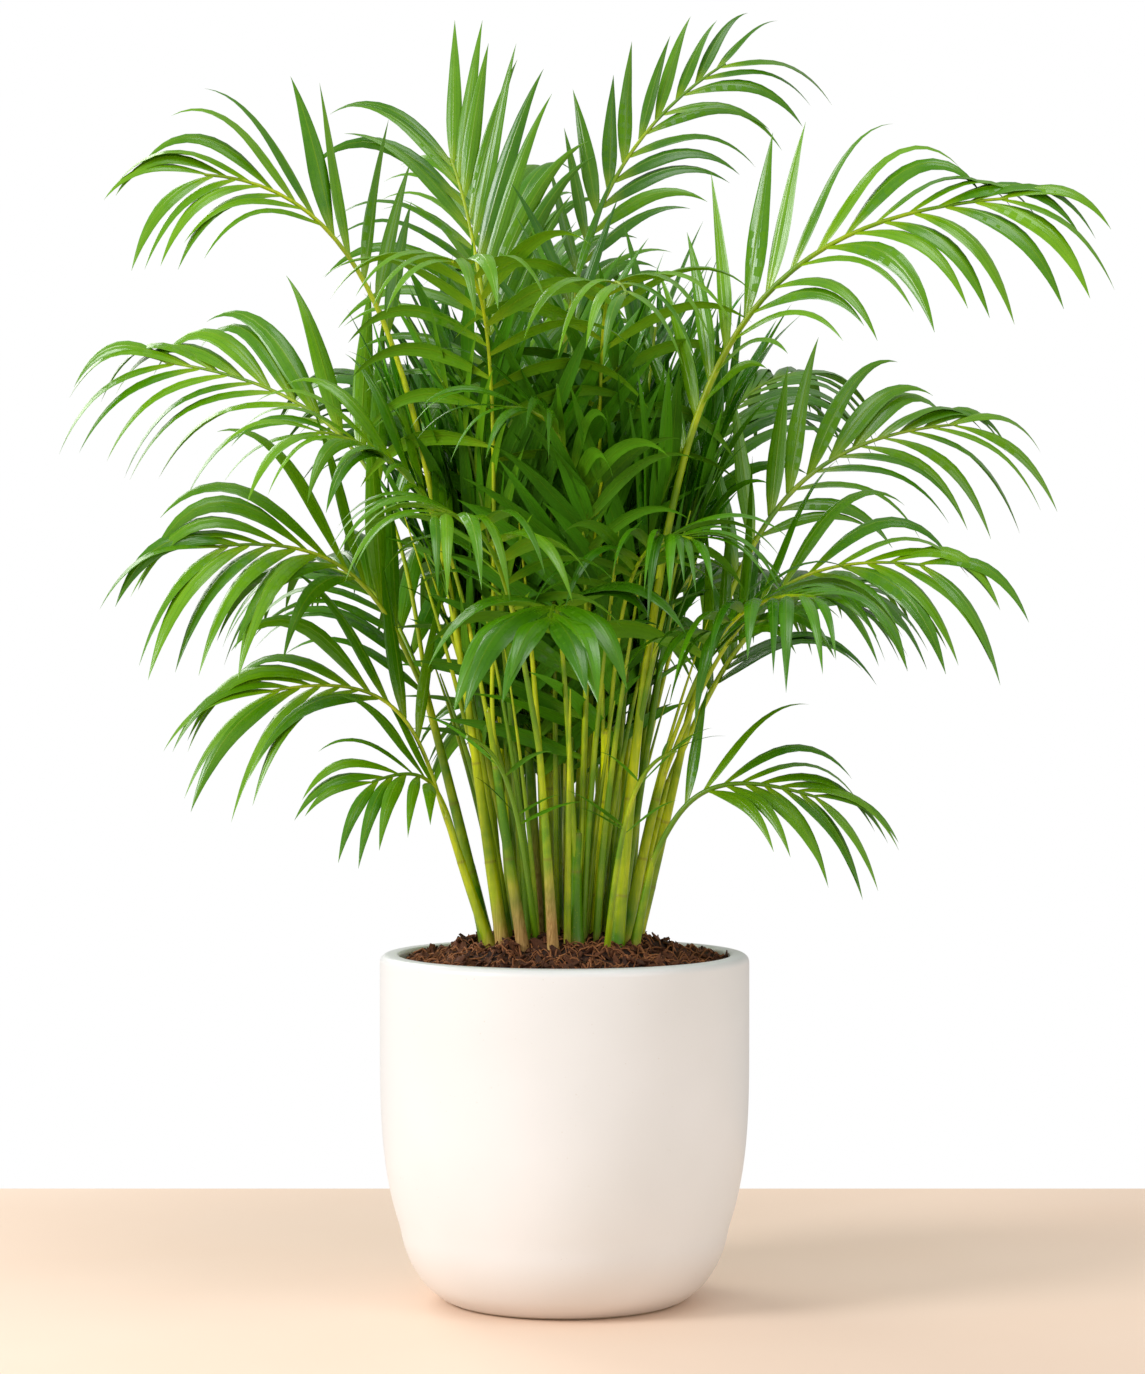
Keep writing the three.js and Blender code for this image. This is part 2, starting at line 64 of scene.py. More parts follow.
print("nodes in the frame:", len(frame["nodes"]))

# %% [markdown]
# ## Camera
#
# The photograph was taken from the height of the plant's middle, with a long lens. The rim of the
# pot shows as a thin ellipse, and how flat it is gives the height of the eye: half a metre above
# the floor. A long lens from 2.7 m keeps the sides of the pot as straight as in the picture.

# %% Camera
EYE_HEIGHT = 0.50
EYE_DISTANCE = 2.70
EYE_ASIDE = 0.006
LOOK_DOWN = math.radians(0.764)
HALF_VIEW = math.radians(21.83 / 2)

eye_data = bpy.data.cameras.new("eye")
eye_data.sensor_width = 36.0
eye_data.lens = eye_data.sensor_width / 2 / math.tan(HALF_VIEW)
eye = bpy.data.objects.new("eye", eye_data)
eye.location = (EYE_ASIDE, -EYE_DISTANCE, EYE_HEIGHT)
eye.rotation_euler = (math.pi / 2 - LOOK_DOWN, 0, 0)
bpy.context.scene.collection.objects.link(eye)
bpy.context.scene.camera = eye
print("lens in mm:", round(eye_data.lens, 1))

# %% [markdown]
# ## Helpers for meshes
#
# The sizes below are written in millimetres, as a grower would measure them, and turned into
# metres as the meshes are made. A piece is a list of points and faces, or a list of lines that
# Geometry Nodes later give a body. Random numbers come from a small generator, and each use starts
# it from a seed of its own, so that the plant grows the same way on every run.

# %% Small helpers
MM = 0.001
WORD = 0xFFFFFFFF
UP = Vector((0, 0, 1))
VIEWER = Vector((0, -1, 0))


def between(first, second, share):
    return first + (second - first) * share


def eased(low, high, value):
    share = min(max((value - low) / (high - low), 0.0), 1.0)
    return share * share * (3 - 2 * share)


def seeded(seed):
    state = [seed & WORD]

    def times(first, second):
        return (first * second) & WORD

    def draw():
        state[0] = (state[0] + 0x6D2B79F5) & WORD
        mixed = times(state[0] ^ (state[0] >> 15), state[0] | 1)
        mixed ^= (mixed + times(mixed ^ (mixed >> 7), mixed | 61)) & WORD
        return ((mixed ^ (mixed >> 14)) & WORD) / 4294967296

    return draw


def link(thing):
    bpy.context.scene.collection.objects.link(thing)
    return thing


def make_piece(name, points, faces, edges=()):
    mesh = bpy.data.meshes.new(name)
    mesh.from_pydata([tuple(point) for point in points], list(edges), list(faces))
    mesh.update()
    return link(bpy.data.objects.new(name, mesh))


def store_values(piece, title, values):
    kind = "FLOAT" if np.ndim(values) == 1 else "FLOAT_VECTOR"
    field = "value" if kind == "FLOAT" else "vector"
    layer = piece.data.attributes.new(title, kind, "POINT")
    layer.data.foreach_set(field, np.asarray(values, np.float32).ravel())


def faces_outward(piece):
    shell = bmesh.new()
    shell.from_mesh(piece.data)
    bmesh.ops.remove_doubles(shell, verts=shell.verts, dist=1e-6)
    bmesh.ops.recalc_face_normals(shell, faces=shell.faces)
    shell.to_mesh(piece.data)
    shell.free()


def triangles(piece):
    return sum(len(face.vertices) - 2 for face in piece.data.polygons)


# %% [markdown]
# ## Helpers for node trees
#
# Materials and Geometry Nodes are both trees of nodes. One helper adds a node, sets its options,
# and fills each input with a number or with the output of another node. Every Geometry Nodes tree
# below ends the same way, so its end is a helper too.

# %% Node helpers
def fill(tree, node, inputs):
    """Sets each input to a number, or links it to the output of another node."""
    for socket, value in inputs.items():
        if isinstance(value, bpy.types.NodeSocket):
            tree.links.new(value, node.inputs[socket])
        else:
            node.inputs[socket].default_value = value


def add(tree, kind, inputs=None, **options):
    node = tree.nodes.new(kind)
    for option, value in options.items():
        setattr(node, option, value)
    fill(tree, node, inputs or {})
    return node


def work_out(tree, operation, first, second=0.0, third=0.0):
    node = add(tree, "ShaderNodeMath", {0: first, 1: second, 2: third}, operation=operation)
    return node.outputs[0]


def new_tree(name, kind, inputs, outputs):
    tree = bpy.data.node_groups.new(name, kind)
    for title, socket, start in inputs:
        made = tree.interface.new_socket(title, in_out="INPUT", socket_type="NodeSocket" + socket)
        if start is not None:
            made.default_value = start
    for title, socket in outputs:
        tree.interface.new_socket(title, in_out="OUTPUT", socket_type="NodeSocket" + socket)
    return tree, tree.nodes.new("NodeGroupInput"), tree.nodes.new("NodeGroupOutput")


def named(tree, title, kind="FLOAT"):
    """The values that the points of a piece carry under a title."""
    node = add(tree, "GeometryNodeInputNamedAttribute", {"Name": title}, data_type=kind)
    return node.outputs["Attribute"]


def store(tree, geometry, title, value, domain="POINT"):
    """Writes a value on the points, or on the copies, of a geometry."""
    places = {"Geometry": geometry, "Name": title, "Value": value}
    stored = add(tree, "GeometryNodeStoreNamedAttribute", places, data_type="FLOAT", domain=domain)
    return stored.outputs[0]


def end_tree(tree, leave, geometry, finish):
    """Turns copies into real faces, gives them their material and sends them out."""
    real = add(tree, "GeometryNodeRealizeInstances", {"Geometry": geometry})
    coated = add(tree, "GeometryNodeSetMaterial", {"Geometry": real.outputs[0], "Material": finish})
    tree.links.new(coated.outputs[0], leave.inputs[0])
    print(tree.name + ":", len(tree.nodes), "nodes")


def grow(piece, tree, values):
    """Gives a piece a Geometry Nodes tree, and keeps the result as a plain mesh."""
    modifier = piece.modifiers.new("grow", "NODES")
    modifier.node_group = tree
    for item in tree.interface.items_tree:
        if item.in_out == "INPUT" and item.name in values:
            modifier[item.identifier] = values[item.name]
    graph = bpy.context.evaluated_depsgraph_get()
    mesh = bpy.data.meshes.new_from_object(
        piece.evaluated_get(graph), preserve_all_data_layers=True, depsgraph=graph
    )
    piece.modifiers.remove(modifier)
    lines = piece.data
    piece.data = mesh
    bpy.data.meshes.remove(lines)
    mesh.name = piece.name
    return piece


# %% [markdown]
# ## Colours and shared effects
#
# Paint mixers name colours as a screen shows them, from 0 to 255. Shaders need the amount of
# light instead, so one helper converts them. Four effects come back in several finishes and are
# made once, as groups: soft clouds of variation, long grain along a stem, small spots, and the
# relief of a leaf blade with its keel and veins.

# %% Colour helpers
def paint(red, green, blue):
    def to_light(value):
        share = value / 255
        return share / 12.92 if share <= 0.04045 else ((share + 0.055) / 1.055) ** 2.4

    return (to_light(red), to_light(green), to_light(blue), 1.0)


def tint(tree, share, first, second):
    return add(tree, "ShaderNodeMix", {0: share, 6: first, 7: second}, data_type="RGBA").outputs[2]


def read(tree, title):
    return add(tree, "ShaderNodeAttribute", attribute_name=title).outputs["Fac"]


def object_place(tree):
    return add(tree, "ShaderNodeTexCoord").outputs["Object"]


def spread(tree, value, from_low, from_high, to_low, to_high):
    places = {0: value, 1: from_low, 2: from_high, 3: to_low, 4: to_high}
    return add(tree, "ShaderNodeMapRange", places).outputs[0]


def start_material(name):
    material = bpy.data.materials.new(name)
    material.use_nodes = True
    tree = material.node_tree
    tree.nodes.clear()
    end = tree.nodes.new("ShaderNodeOutputMaterial")
    shader = tree.nodes.new("ShaderNodeBsdfPrincipled")
    tree.links.new(shader.outputs["BSDF"], end.inputs["Surface"])
    return material, tree, shader


def effect(tree, group, values):
    """Places a shared effect in a material with values of its own, and gives its first output."""
    return add(tree, "ShaderNodeGroup", values, node_tree=group).outputs[0]


def raised(tree, height, strength, distance):
    places = {"Height": height, "Strength": strength, "Distance": distance}
    return add(tree, "ShaderNodeBump", places).outputs["Normal"]


# %% Soft clouds
clouds, arrive, leave = new_tree(
    "soft_clouds",
    "ShaderNodeTree",
    [("Scale", "Float", 30.0), ("Detail", "Float", 3.0), ("Low", "Float", 0.0), ("High", "Float", 1.0)],
    [("Value", "Float")],
)
place = object_place(clouds)
drift = add(
    clouds,
    "ShaderNodeTexNoise",
    {"Vector": place, "Scale": arrive.outputs["Scale"], "Detail": arrive.outputs["Detail"]},
).outputs["Fac"]
value = spread(clouds, drift, 0.3, 0.7, arrive.outputs["Low"], arrive.outputs["High"])
clouds.links.new(value, leave.inputs["Value"])

# %% Long grain
grain, arrive, leave = new_tree(
    "long_grain",
    "ShaderNodeTree",
    [("Scale", "Float", 600.0), ("Length", "Float", 0.04)],
    [("Value", "Float")],
)
place = object_place(grain)
stretch = add(grain, "ShaderNodeCombineXYZ", {"X": 1.0, "Y": 1.0, "Z": arrive.outputs["Length"]})
pulled = add(grain, "ShaderNodeVectorMath", {0: place, 1: stretch.outputs[0]}, operation="MULTIPLY")
drift = add(
    grain,
    "ShaderNodeTexNoise",
    {"Vector": pulled.outputs[0], "Scale": arrive.outputs["Scale"], "Detail": 3.0},
).outputs["Fac"]
value = spread(grain, drift, 0.3, 0.7, 0.0, 1.0)
grain.links.new(value, leave.inputs["Value"])

# %% Small spots
spots, arrive, leave = new_tree(
    "small_spots",
    "ShaderNodeTree",
    [("Scale", "Float", 300.0), ("Size", "Float", 0.25)],
    [("Mask", "Float")],
)
place = object_place(spots)
cells = add(spots, "ShaderNodeTexVoronoi", {"Vector": place, "Scale": arrive.outputs["Scale"]})
edge = work_out(spots, "MULTIPLY", arrive.outputs["Size"], 0.5)
mask = spread(spots, cells.outputs["Distance"], edge, arrive.outputs["Size"], 1.0, 0.0)
spots.links.new(mask, leave.inputs["Mask"])

# %% Relief of a leaf blade
relief, arrive, leave = new_tree(
    "blade_relief",
    "ShaderNodeTree",
    [("Across", "Float", 0.0), ("Along", "Float", 0.0), ("Veins", "Float", 5.0), ("Keel", "Float", 0.1)],
    [("Height", "Float"), ("Vein Mask", "Float"), ("Keel Mask", "Float")],
)
turn = work_out(relief, "MULTIPLY", arrive.outputs["Veins"], 2 * math.pi)
wave = work_out(relief, "COSINE", work_out(relief, "MULTIPLY", arrive.outputs["Across"], turn))
veins = spread(relief, wave, 0.2, 1.0, 0.0, 1.0)
aside = work_out(relief, "ABSOLUTE", arrive.outputs["Across"])
keel = spread(relief, aside, 0.0, arrive.outputs["Keel"], 1.0, 0.0)
towards_tip = spread(relief, arrive.outputs["Along"], 0.7, 1.0, 1.0, 0.2)
fine = work_out(relief, "MULTIPLY", veins, towards_tip)
height = work_out(relief, "MULTIPLY_ADD", fine, 0.35, keel)
relief.links.new(height, leave.inputs["Height"])
relief.links.new(fine, leave.inputs["Vein Mask"])
relief.links.new(keel, leave.inputs["Keel Mask"])
print("shared effects:", [tree.name for tree in (clouds, grain, spots, relief)])

# %% [markdown]
# ## The pot
#
# The pot is slip-cast ceramic: a round bowl that climbs out of a narrow foot and stands nearly
# upright at the rim, with a thick, softly rounded lip. Its profile could be drawn as a curve and
# spun. Here the profile is worked out from the same rule as the solid, with many more steps, and
# turned about the upright axis, so that the silhouette is smooth and the sizes stay the same. The
# corner over the foot is fuller by a little over three millimetres and the foot itself is drawn in,
# which the simpler solid leaves out.

# %% Pot sizes and profile
POT_HEIGHT = 262
RIM_RADIUS = 140
FOOT_RADIUS = 95
WALL = 15
FLOOR = 16
LIP_ROUND = 6
INNER_LIP_ROUND = 3
SWELL = 3.4
SIDE_HEIGHT = 205
FOOT_ROUND = 1.6
BELLY = 3.4
BELLY_HEIGHT = 56
FOOT_TUCK = 6
TUCK_HEIGHT = 16
# The side starts over the rounded edge of the foot, and its rings crowd there, where it bends most
SIDE_START = 2.6
SIDE_RINGS = 44
RING_CROWDING = 1.35
INNER_LOWEST = 30
INNER_RINGS = 14
POT_SEGMENTS = 144


def side_radius(height):
    share = min(height / SIDE_HEIGHT, 1)
    return FOOT_RADIUS + (RIM_RADIUS - FOOT_RADIUS) * (1 - (1 - share) ** SWELL)


def outer_radius(height):
    """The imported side, a little fuller over the foot and drawn in at the foot itself."""
    belly = BELLY * math.sin(math.pi * min(height / BELLY_HEIGHT, 1))
    tuck = FOOT_TUCK * max(0, 1 - height / TUCK_HEIGHT) ** 2
    return side_radius(height) + belly - tuck


def corner(middle_radius, middle_height, size, start, stop, steps):
    turns = [math.radians(between(start, stop, step / steps)) for step in range(steps + 1)]
    return [
        (middle_radius + size * math.cos(turn), middle_height + size * math.sin(turn)) for turn in turns
    ]


def pot_profile():
    foot_edge = FOOT_RADIUS - FOOT_TUCK - FOOT_ROUND
    foot = corner(foot_edge, FOOT_ROUND, FOOT_ROUND, -90, -40, 4)
    shares = [(step / SIDE_RINGS) ** RING_CROWDING for step in range(SIDE_RINGS + 1)]
    outer_heights = [between(SIDE_START, SIDE_HEIGHT, share) for share in shares]
    outer = [(outer_radius(height), height) for height in outer_heights]
    lip = corner(RIM_RADIUS - LIP_ROUND, POT_HEIGHT - LIP_ROUND, LIP_ROUND, 0, 90, 8)
    inner_edge = RIM_RADIUS - WALL + INNER_LIP_ROUND
    inner_lip = corner(inner_edge, POT_HEIGHT - INNER_LIP_ROUND, INNER_LIP_ROUND, 90, 180, 5)
    falls = [(SIDE_HEIGHT - INNER_LOWEST) * step / INNER_RINGS for step in range(INNER_RINGS + 1)]
    inner_heights = [SIDE_HEIGHT - fall for fall in falls]
    inner = [(side_radius(height) - WALL, height) for height in inner_heights]
    bottom = [(FOOT_RADIUS - WALL, FLOOR), (0, FLOOR)]
    return [(0, 0), *foot, *outer, *lip, *inner_lip, *inner, *bottom]


def ring_points(radius, height, count):
    turns = [2 * math.pi * number / count for number in range(count)]
    return [(radius * math.cos(turn) * MM, radius * math.sin(turn) * MM, height * MM) for turn in turns]


def turned_piece(name, profile, segments):
    points = []
    faces = []
    for radius, height in profile:
        points.extend(ring_points(radius, height, segments))
    for row in range(len(profile) - 1):
        for segment in range(segments):
            beside = (segment + 1) % segments
            low = row * segments
            high = low + segments
            faces.append((low + segment, low + beside, high + beside, high + segment))
    piece = make_piece(name, points, faces)
    faces_outward(piece)
    piece.data.shade_smooth()
    return piece


pot = turned_piece("pot_body", pot_profile(), POT_SEGMENTS)
print("pot:", triangles(pot), "triangles, rim", 2 * RIM_RADIUS, "mm across")

# %% [markdown]
# The glaze is a warm white with a satin sheen. Fired glaze is never quite even: it pools a little,
# so its tone and its gloss drift over the surface, and a few iron specks show close by.
# Towards the foot its colour is painted darker and warmer as shade from the floor, and the ring
# that stood in the kiln is bare.
# All of it is kept faint, because the real pot reads as plain white from a step away.

# %% Glaze
GLAZE_WHITE = paint(244, 246, 249)
POOLED_WHITE = paint(239, 241, 243)
BARE_CLAY = paint(203, 186, 164)
IRON_SPECK = paint(196, 180, 158)
# The colour of the painted shade that darkens the glaze towards the foot
FOOT_SHADE_COLOUR = paint(214, 190, 168)

# Heights over the floor in metres: where the bare ring fades, and where the painted shade at the
# foot ends
RING_FADES = (0.0006, 0.0022)
FOOT_SHADE_TOP = 0.06
FOOT_SHADE_SHARE = 0.42

glaze, tree, shader = start_material("satin_glaze")
pooled = effect(tree, clouds, {"Scale": 9.0, "Detail": 2.0})
specks = effect(tree, spots, {"Scale": 210.0, "Size": 0.1})
few = effect(tree, clouds, {"Scale": 60.0, "Low": -0.6, "High": 0.5})
orange_peel = effect(tree, clouds, {"Scale": 120.0})
up_pot = add(tree, "ShaderNodeSeparateXYZ", {0: object_place(tree)}).outputs["Z"]
foot_ring = spread(tree, up_pot, *RING_FADES, 1.0, 0.0)
# Painted shade: the glaze is darker and warmer towards the foot
foot_shade = spread(tree, up_pot, 0.0, FOOT_SHADE_TOP, FOOT_SHADE_SHARE, 0.0)
speck_share = work_out(tree, "MULTIPLY", specks, few)
colour = tint(tree, pooled, GLAZE_WHITE, POOLED_WHITE)
colour = tint(tree, work_out(tree, "MAXIMUM", speck_share, 0.0), colour, IRON_SPECK)
colour = tint(tree, foot_shade, colour, FOOT_SHADE_COLOUR)
colour = tint(tree, foot_ring, colour, BARE_CLAY)
sheen = spread(tree, pooled, 0.0, 1.0, 0.34, 0.44)
fill(
    tree,
    shader,
    {
        "Base Color": colour,
        "Roughness": work_out(tree, "MULTIPLY_ADD", foot_ring, 0.4, sheen),
        "Normal": raised(tree, orange_peel, 0.04, 0.0008),
        "Coat Weight": 0.2,
        "Coat Roughness": 0.2,
    },
)
pot.data.materials.append(glaze)
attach(pot, "root")
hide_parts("pot")
print("pot finish:", glaze.name)

# %% [markdown]
# ## The potting mix
#
# The pot is filled to just above its rim with a coarse mix of composted bark and coconut fibre.
# It is heaped a little in the middle, ragged on top, and settles lower along the wall. A disc with
# a bumpy picture would look painted from the side, so this is a real mound with lumps, and loose
# bark and fibres scattered on it in the next steps.

# %% Mound
MIX_TOP = 265
MIX_EDGE = 250
MIX_HEAP = 7.0
# How far from the middle the mound begins to fall, and the share of its heap that it loses
HEAP_START = 46
HEAP_LOST = 0.35
# The bumps are lower in a band along the wall, by this share
CALM_BAND = 12
CALMED = 0.55
MIX_GAP = 0.6
MIX_RADIUS = RIM_RADIUS - WALL - MIX_GAP
MIX_BOTTOM = FLOOR + 0.3
MOUND_SEGMENTS = 120
MOUND_RINGS = 46
# Bumps from coarse to fine: how fine, which layer of the noise, and how high in millimetres
BUMPS = ((0.045, 3.0, 9.0), (0.16, 9.0, 3.6), (0.42, 5.0, 1.6))


def mound_height(across, deep):
    radius = math.hypot(across, deep)
    fallen = eased(HEAP_START, MIX_RADIUS, radius)
    bumps = sum(noise.noise(Vector((across, deep, layer)) * fine) * size for fine, layer, size in BUMPS)
    calm = 1 - CALMED * eased(MIX_RADIUS - CALM_BAND, MIX_RADIUS, radius)
    heaped = MIX_HEAP * (1 - HEAP_LOST * fallen)
    return between(MIX_TOP, MIX_EDGE, fallen) + heaped + bumps * calm


def mound_piece():
    points = [(0, 0, mound_height(0, 0) * MM)]
    for ring in range(1, MOUND_RINGS + 1):
        radius = MIX_RADIUS * ring / MOUND_RINGS
        for segment in range(MOUND_SEGMENTS):
            turn = 2 * math.pi * segment / MOUND_SEGMENTS
            across = radius * math.cos(turn)
            deep = radius * math.sin(turn)
            points.append((across * MM, deep * MM, mound_height(across, deep) * MM))
    top_count = len(points)
    walls = [(side_radius(height) - WALL - MIX_GAP, height) for height in (SIDE_HEIGHT, 120, 60, 30)]
    walls.append((FOOT_RADIUS - WALL - MIX_GAP, MIX_BOTTOM))
    for radius, height in walls:
        points.extend(ring_points(radius, height, MOUND_SEGMENTS))
    points.append((0, 0, MIX_BOTTOM * MM))
    rows = MOUND_RINGS + len(walls)
    faces = []
    for segment in range(MOUND_SEGMENTS):
        beside = (segment + 1) % MOUND_SEGMENTS
        faces.append((0, 1 + segment, 1 + beside))
        for row in range(rows - 1):
            low = 1 + row * MOUND_SEGMENTS
            high_row = low + MOUND_SEGMENTS
            faces.append((low + segment, high_row + segment, high_row + beside, low + beside))
        last = 1 + (rows - 1) * MOUND_SEGMENTS
        faces.append((last + segment, len(points) - 1, last + beside))
    piece = make_piece("mix_mound", points, faces)
    is_top = np.zeros(len(points))
    is_top[:top_count] = 1
    store_values(piece, "loose", is_top)
    return piece


mound = mound_piece()
mound.data.shade_smooth()
mound_top = max(vertex.co.z for vertex in mound.data.vertices)
print("mound:", triangles(mound), "triangles, top at", round(mound_top, 4))

# %% [markdown]
# Bark breaks into flat splinters. Six of them are made point by point, each from three uneven
# rings of five points. Geometry Nodes then scatter them over the mound: points spread on its top,
# each takes one of the splinters, tips and turns at random and gets its own size and tone.

# %% Splinters
SPLINTER_KINDS = 6
SPLINTER_SIDES = 5
# Least and most, as shares of the length
SPLINTER_WIDTHS = (0.16, 0.3)
SPLINTER_THICKS = (0.07, 0.13)


def splinter(number):
    """A splinter one unit long; the scatter gives it its size."""
    draw = seeded(900 + number)
    wide = between(*SPLINTER_WIDTHS, draw())
    thick = between(*SPLINTER_THICKS, draw())
    # Where each ring lies along the splinter, and how full it is there
    rings = [(-0.5, 0.45), (-0.1 + 0.2 * draw(), 1.0), (0.5, 0.35)]
    points = []
    for along, share in rings:
        for step in range(SPLINTER_SIDES):
            turn = 2 * math.pi * (step + 0.25 * draw()) / SPLINTER_SIDES
            full = share * between(0.8, 1.2, draw())
            across = math.cos(turn) * wide * full
            points.append((along + 0.12 * (draw() - 0.5), across, math.sin(turn) * thick * full))
    last = 2 * SPLINTER_SIDES
    faces = [tuple(reversed(range(SPLINTER_SIDES))), tuple(range(last, last + SPLINTER_SIDES))]
    for low in (0, SPLINTER_SIDES):
        high = low + SPLINTER_SIDES
        for step in range(SPLINTER_SIDES):
            beside = (step + 1) % SPLINTER_SIDES
            faces.append((low + step, low + beside, high + beside, high + step))
    piece = make_piece("splinter_" + str(number), points, faces)
    faces_outward(piece)
    return piece


tray = bpy.data.collections.new("splinter_tray")
bpy.context.scene.collection.children.link(tray)
for number in range(SPLINTER_KINDS):
    chip = splinter(number)
    bpy.context.scene.collection.objects.unlink(chip)
    tray.objects.link(chip)

# %% Scatter the bark
scatter, arrive, leave = new_tree(
    "bark_scatter",
    "GeometryNodeTree",
    [
        ("Mound", "Geometry", None),
        ("Splinters", "Collection", None),
        ("Density", "Float", 46000.0),
        ("Smallest", "Float", 0.004),
        ("Largest", "Float", 0.016),
        ("Tilt", "Float", 0.9),
        ("Seed", "Int", 4),
        ("Finish", "Material", None),
    ],
    [("Bark", "Geometry")],
)
often = work_out(scatter, "MULTIPLY", named(scatter, "loose"), arrive.outputs["Density"])
dots = add(
    scatter,
    "GeometryNodeDistributePointsOnFaces",
    {"Mesh": arrive.outputs["Mound"], "Density": often, "Seed": arrive.outputs["Seed"]},
)
leaning = work_out(scatter, "MULTIPLY", arrive.outputs["Tilt"], -1.0)
least = add(scatter, "ShaderNodeCombineXYZ", {"X": leaning, "Y": leaning, "Z": 0.0})
most = add(
    scatter,
    "ShaderNodeCombineXYZ",
    {"X": arrive.outputs["Tilt"], "Y": arrive.outputs["Tilt"], "Z": 2 * math.pi},
)
turns = add(
    scatter,
    "FunctionNodeRandomValue",
    {"Min": least.outputs[0], "Max": most.outputs[0], "Seed": 11},
    data_type="FLOAT_VECTOR",
)
rotation = add(scatter, "FunctionNodeEulerToRotation", {0: turns.outputs[0]})
laid = add(
    scatter,
    "FunctionNodeRotateRotation",
    {"Rotation": dots.outputs["Rotation"], "Rotate By": rotation.outputs[0]},
    rotation_space="LOCAL",
)
sizes = add(
    scatter,
    "FunctionNodeRandomValue",
    {2: arrive.outputs["Smallest"], 3: arrive.outputs["Largest"], "Seed": 12},
    data_type="FLOAT",
)
kinds = add(
    scatter,
    "GeometryNodeCollectionInfo",
    {"Collection": arrive.outputs["Splinters"], "Separate Children": True, "Reset Children": True},
)
placed = add(
    scatter,
    "GeometryNodeInstanceOnPoints",
    {
        "Points": dots.outputs["Points"],
        "Instance": kinds.outputs[0],
        "Pick Instance": True,
        "Rotation": laid.outputs[0],
        "Scale": sizes.outputs[1],
    },
)
tones = add(scatter, "FunctionNodeRandomValue", {"Seed": 13}, data_type="FLOAT")
toned = store(scatter, placed.outputs[0], "tone", tones.outputs[1], "INSTANCE")
end_tree(scatter, leave, toned, arrive.outputs["Finish"])

# %% [markdown]
# Damp bark is nearly black in its hollows and reddish brown where it has split. The finish mixes
# the two by each splinter's own tone, adds a grain, and stays dull, since wet bark only glints a
# little. The mound below wears a darker mix of the same finish.

# %% Bark finish
WET_BARK = paint(42, 20, 8)
SPLIT_BARK = paint(116, 66, 34)
PALE_FIBRE = paint(176, 114, 68)


def bark_material(name, dark, light, scale, rough):
    material, tree, shader = start_material(name)
    patches = effect(tree, clouds, {"Scale": scale, "Detail": 6.0})
    fibres = effect(tree, grain, {"Scale": 900.0, "Length": 0.5})
    own = tint(tree, read(tree, "tone"), dark, light)
    worn = tint(tree, patches, own, dark)
    shaded = tint(tree, 0.55, own, worn)
    streaked = tint(tree, spread(tree, fibres, 0, 1, 0, 0.35), shaded, light)
    fill(
        tree,
        shader,
        {
            "Base Color": streaked,
            "Roughness": spread(tree, patches, 0, 1, rough - 0.15, rough),
            "Normal": raised(tree, fibres, 0.6, 0.0006),
        },
    )
    return material


loose_bark = bark_material("loose_bark", WET_BARK, SPLIT_BARK, 220.0, 0.92)
packed_bark = bark_material("packed_bark", paint(26, 14, 8), paint(66, 38, 24), 160.0, 0.95)
coir = bark_material("coir_fibre", SPLIT_BARK, PALE_FIBRE, 260.0, 0.9)
store_values(mound, "tone", [0.5 + 0.5 * noise.noise(v.co * 180) for v in mound.data.vertices])
mound.data.materials.append(packed_bark)
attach(mound, "root")
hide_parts("potting_mix")

bark = link(bpy.data.objects.new("bark_chips", mound.data.copy()))
grow(bark, scatter, {"Splinters": tray, "Finish": loose_bark})
for chip in list(tray.objects):
    bpy.data.objects.remove(chip)
bpy.data.collections.remove(tray)
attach(bark, "root")
print("bark:", triangles(bark), "triangles")

# %% [markdown]
# ## Stems from lines
#
# Canes, stalks and coconut fibres are all thin round rods that follow a path. A rod could be made
# ring by ring, but Geometry Nodes do it better: each path is a line of points that carry their own
# radius, and one tree sweeps a small circle along every line. Swellings and tapers then only need
# the radius to change from point to point.

# %% Tree that sweeps a rod along each line
rods, arrive, leave = new_tree(
    "rods_along_lines",
    "GeometryNodeTree",
    [("Lines", "Geometry", None), ("Sides", "Int", 10), ("Finish", "Material", None)],
    [("Rods", "Geometry")],
)
paths = add(rods, "GeometryNodeMeshToCurve", {"Mesh": arrive.outputs["Lines"]})
ring = add(
    rods,
    "GeometryNodeCurvePrimitiveCircle",
    {"Resolution": arrive.outputs["Sides"], "Radius": 1.0},
)


def sweep(tree, leave, lines, profile, size, finish):
    """Sweeps a profile along lines, scaled by the size at each point, and ends the tree."""
    places = {"Curve": lines, "Profile Curve": profile, "Scale": size, "Fill Caps": True}
    swept = add(tree, "GeometryNodeCurveToMesh", places)
    smooth = add(tree, "GeometryNodeSetShadeSmooth", {"Geometry": swept.outputs[0]})
    end_tree(tree, leave, smooth.outputs[0], finish)


thick = named(rods, "rod_radius")
sweep(rods, leave, paths.outputs[0], ring.outputs["Curve"], thick, arrive.outputs["Finish"])


class Lines:
    """Lines of points for the trees above, with the values that each point carries."""

    def __init__(self, *titles):
        self.points = []
        self.edges = []
        self.values = {title: [] for title in titles}

    def add_line(self, points, **values):
        start = len(self.points)
        self.points.extend(tuple(point * MM) for point in points)
        self.edges.extend((start + i, start + i + 1) for i in range(len(points) - 1))
        for title, value in values.items():
            self.values[title].extend(value)

    def piece(self, name):
        made = make_piece(name, self.points, [], self.edges)
        for title, values in self.values.items():
            store_values(made, title, np.array(values))
        return made


# %% Coconut fibres
FIBRE_COUNT = 900
FIBRE_STEPS = 5
# Least and most in millimetres: the length of a step, how high it arches, and its radius
FIBRE_STRIDES = (1.8, 4.8)
FIBRE_ARCHES = (0.8, 4.8)
FIBRE_RADII = (0.3, 0.8)


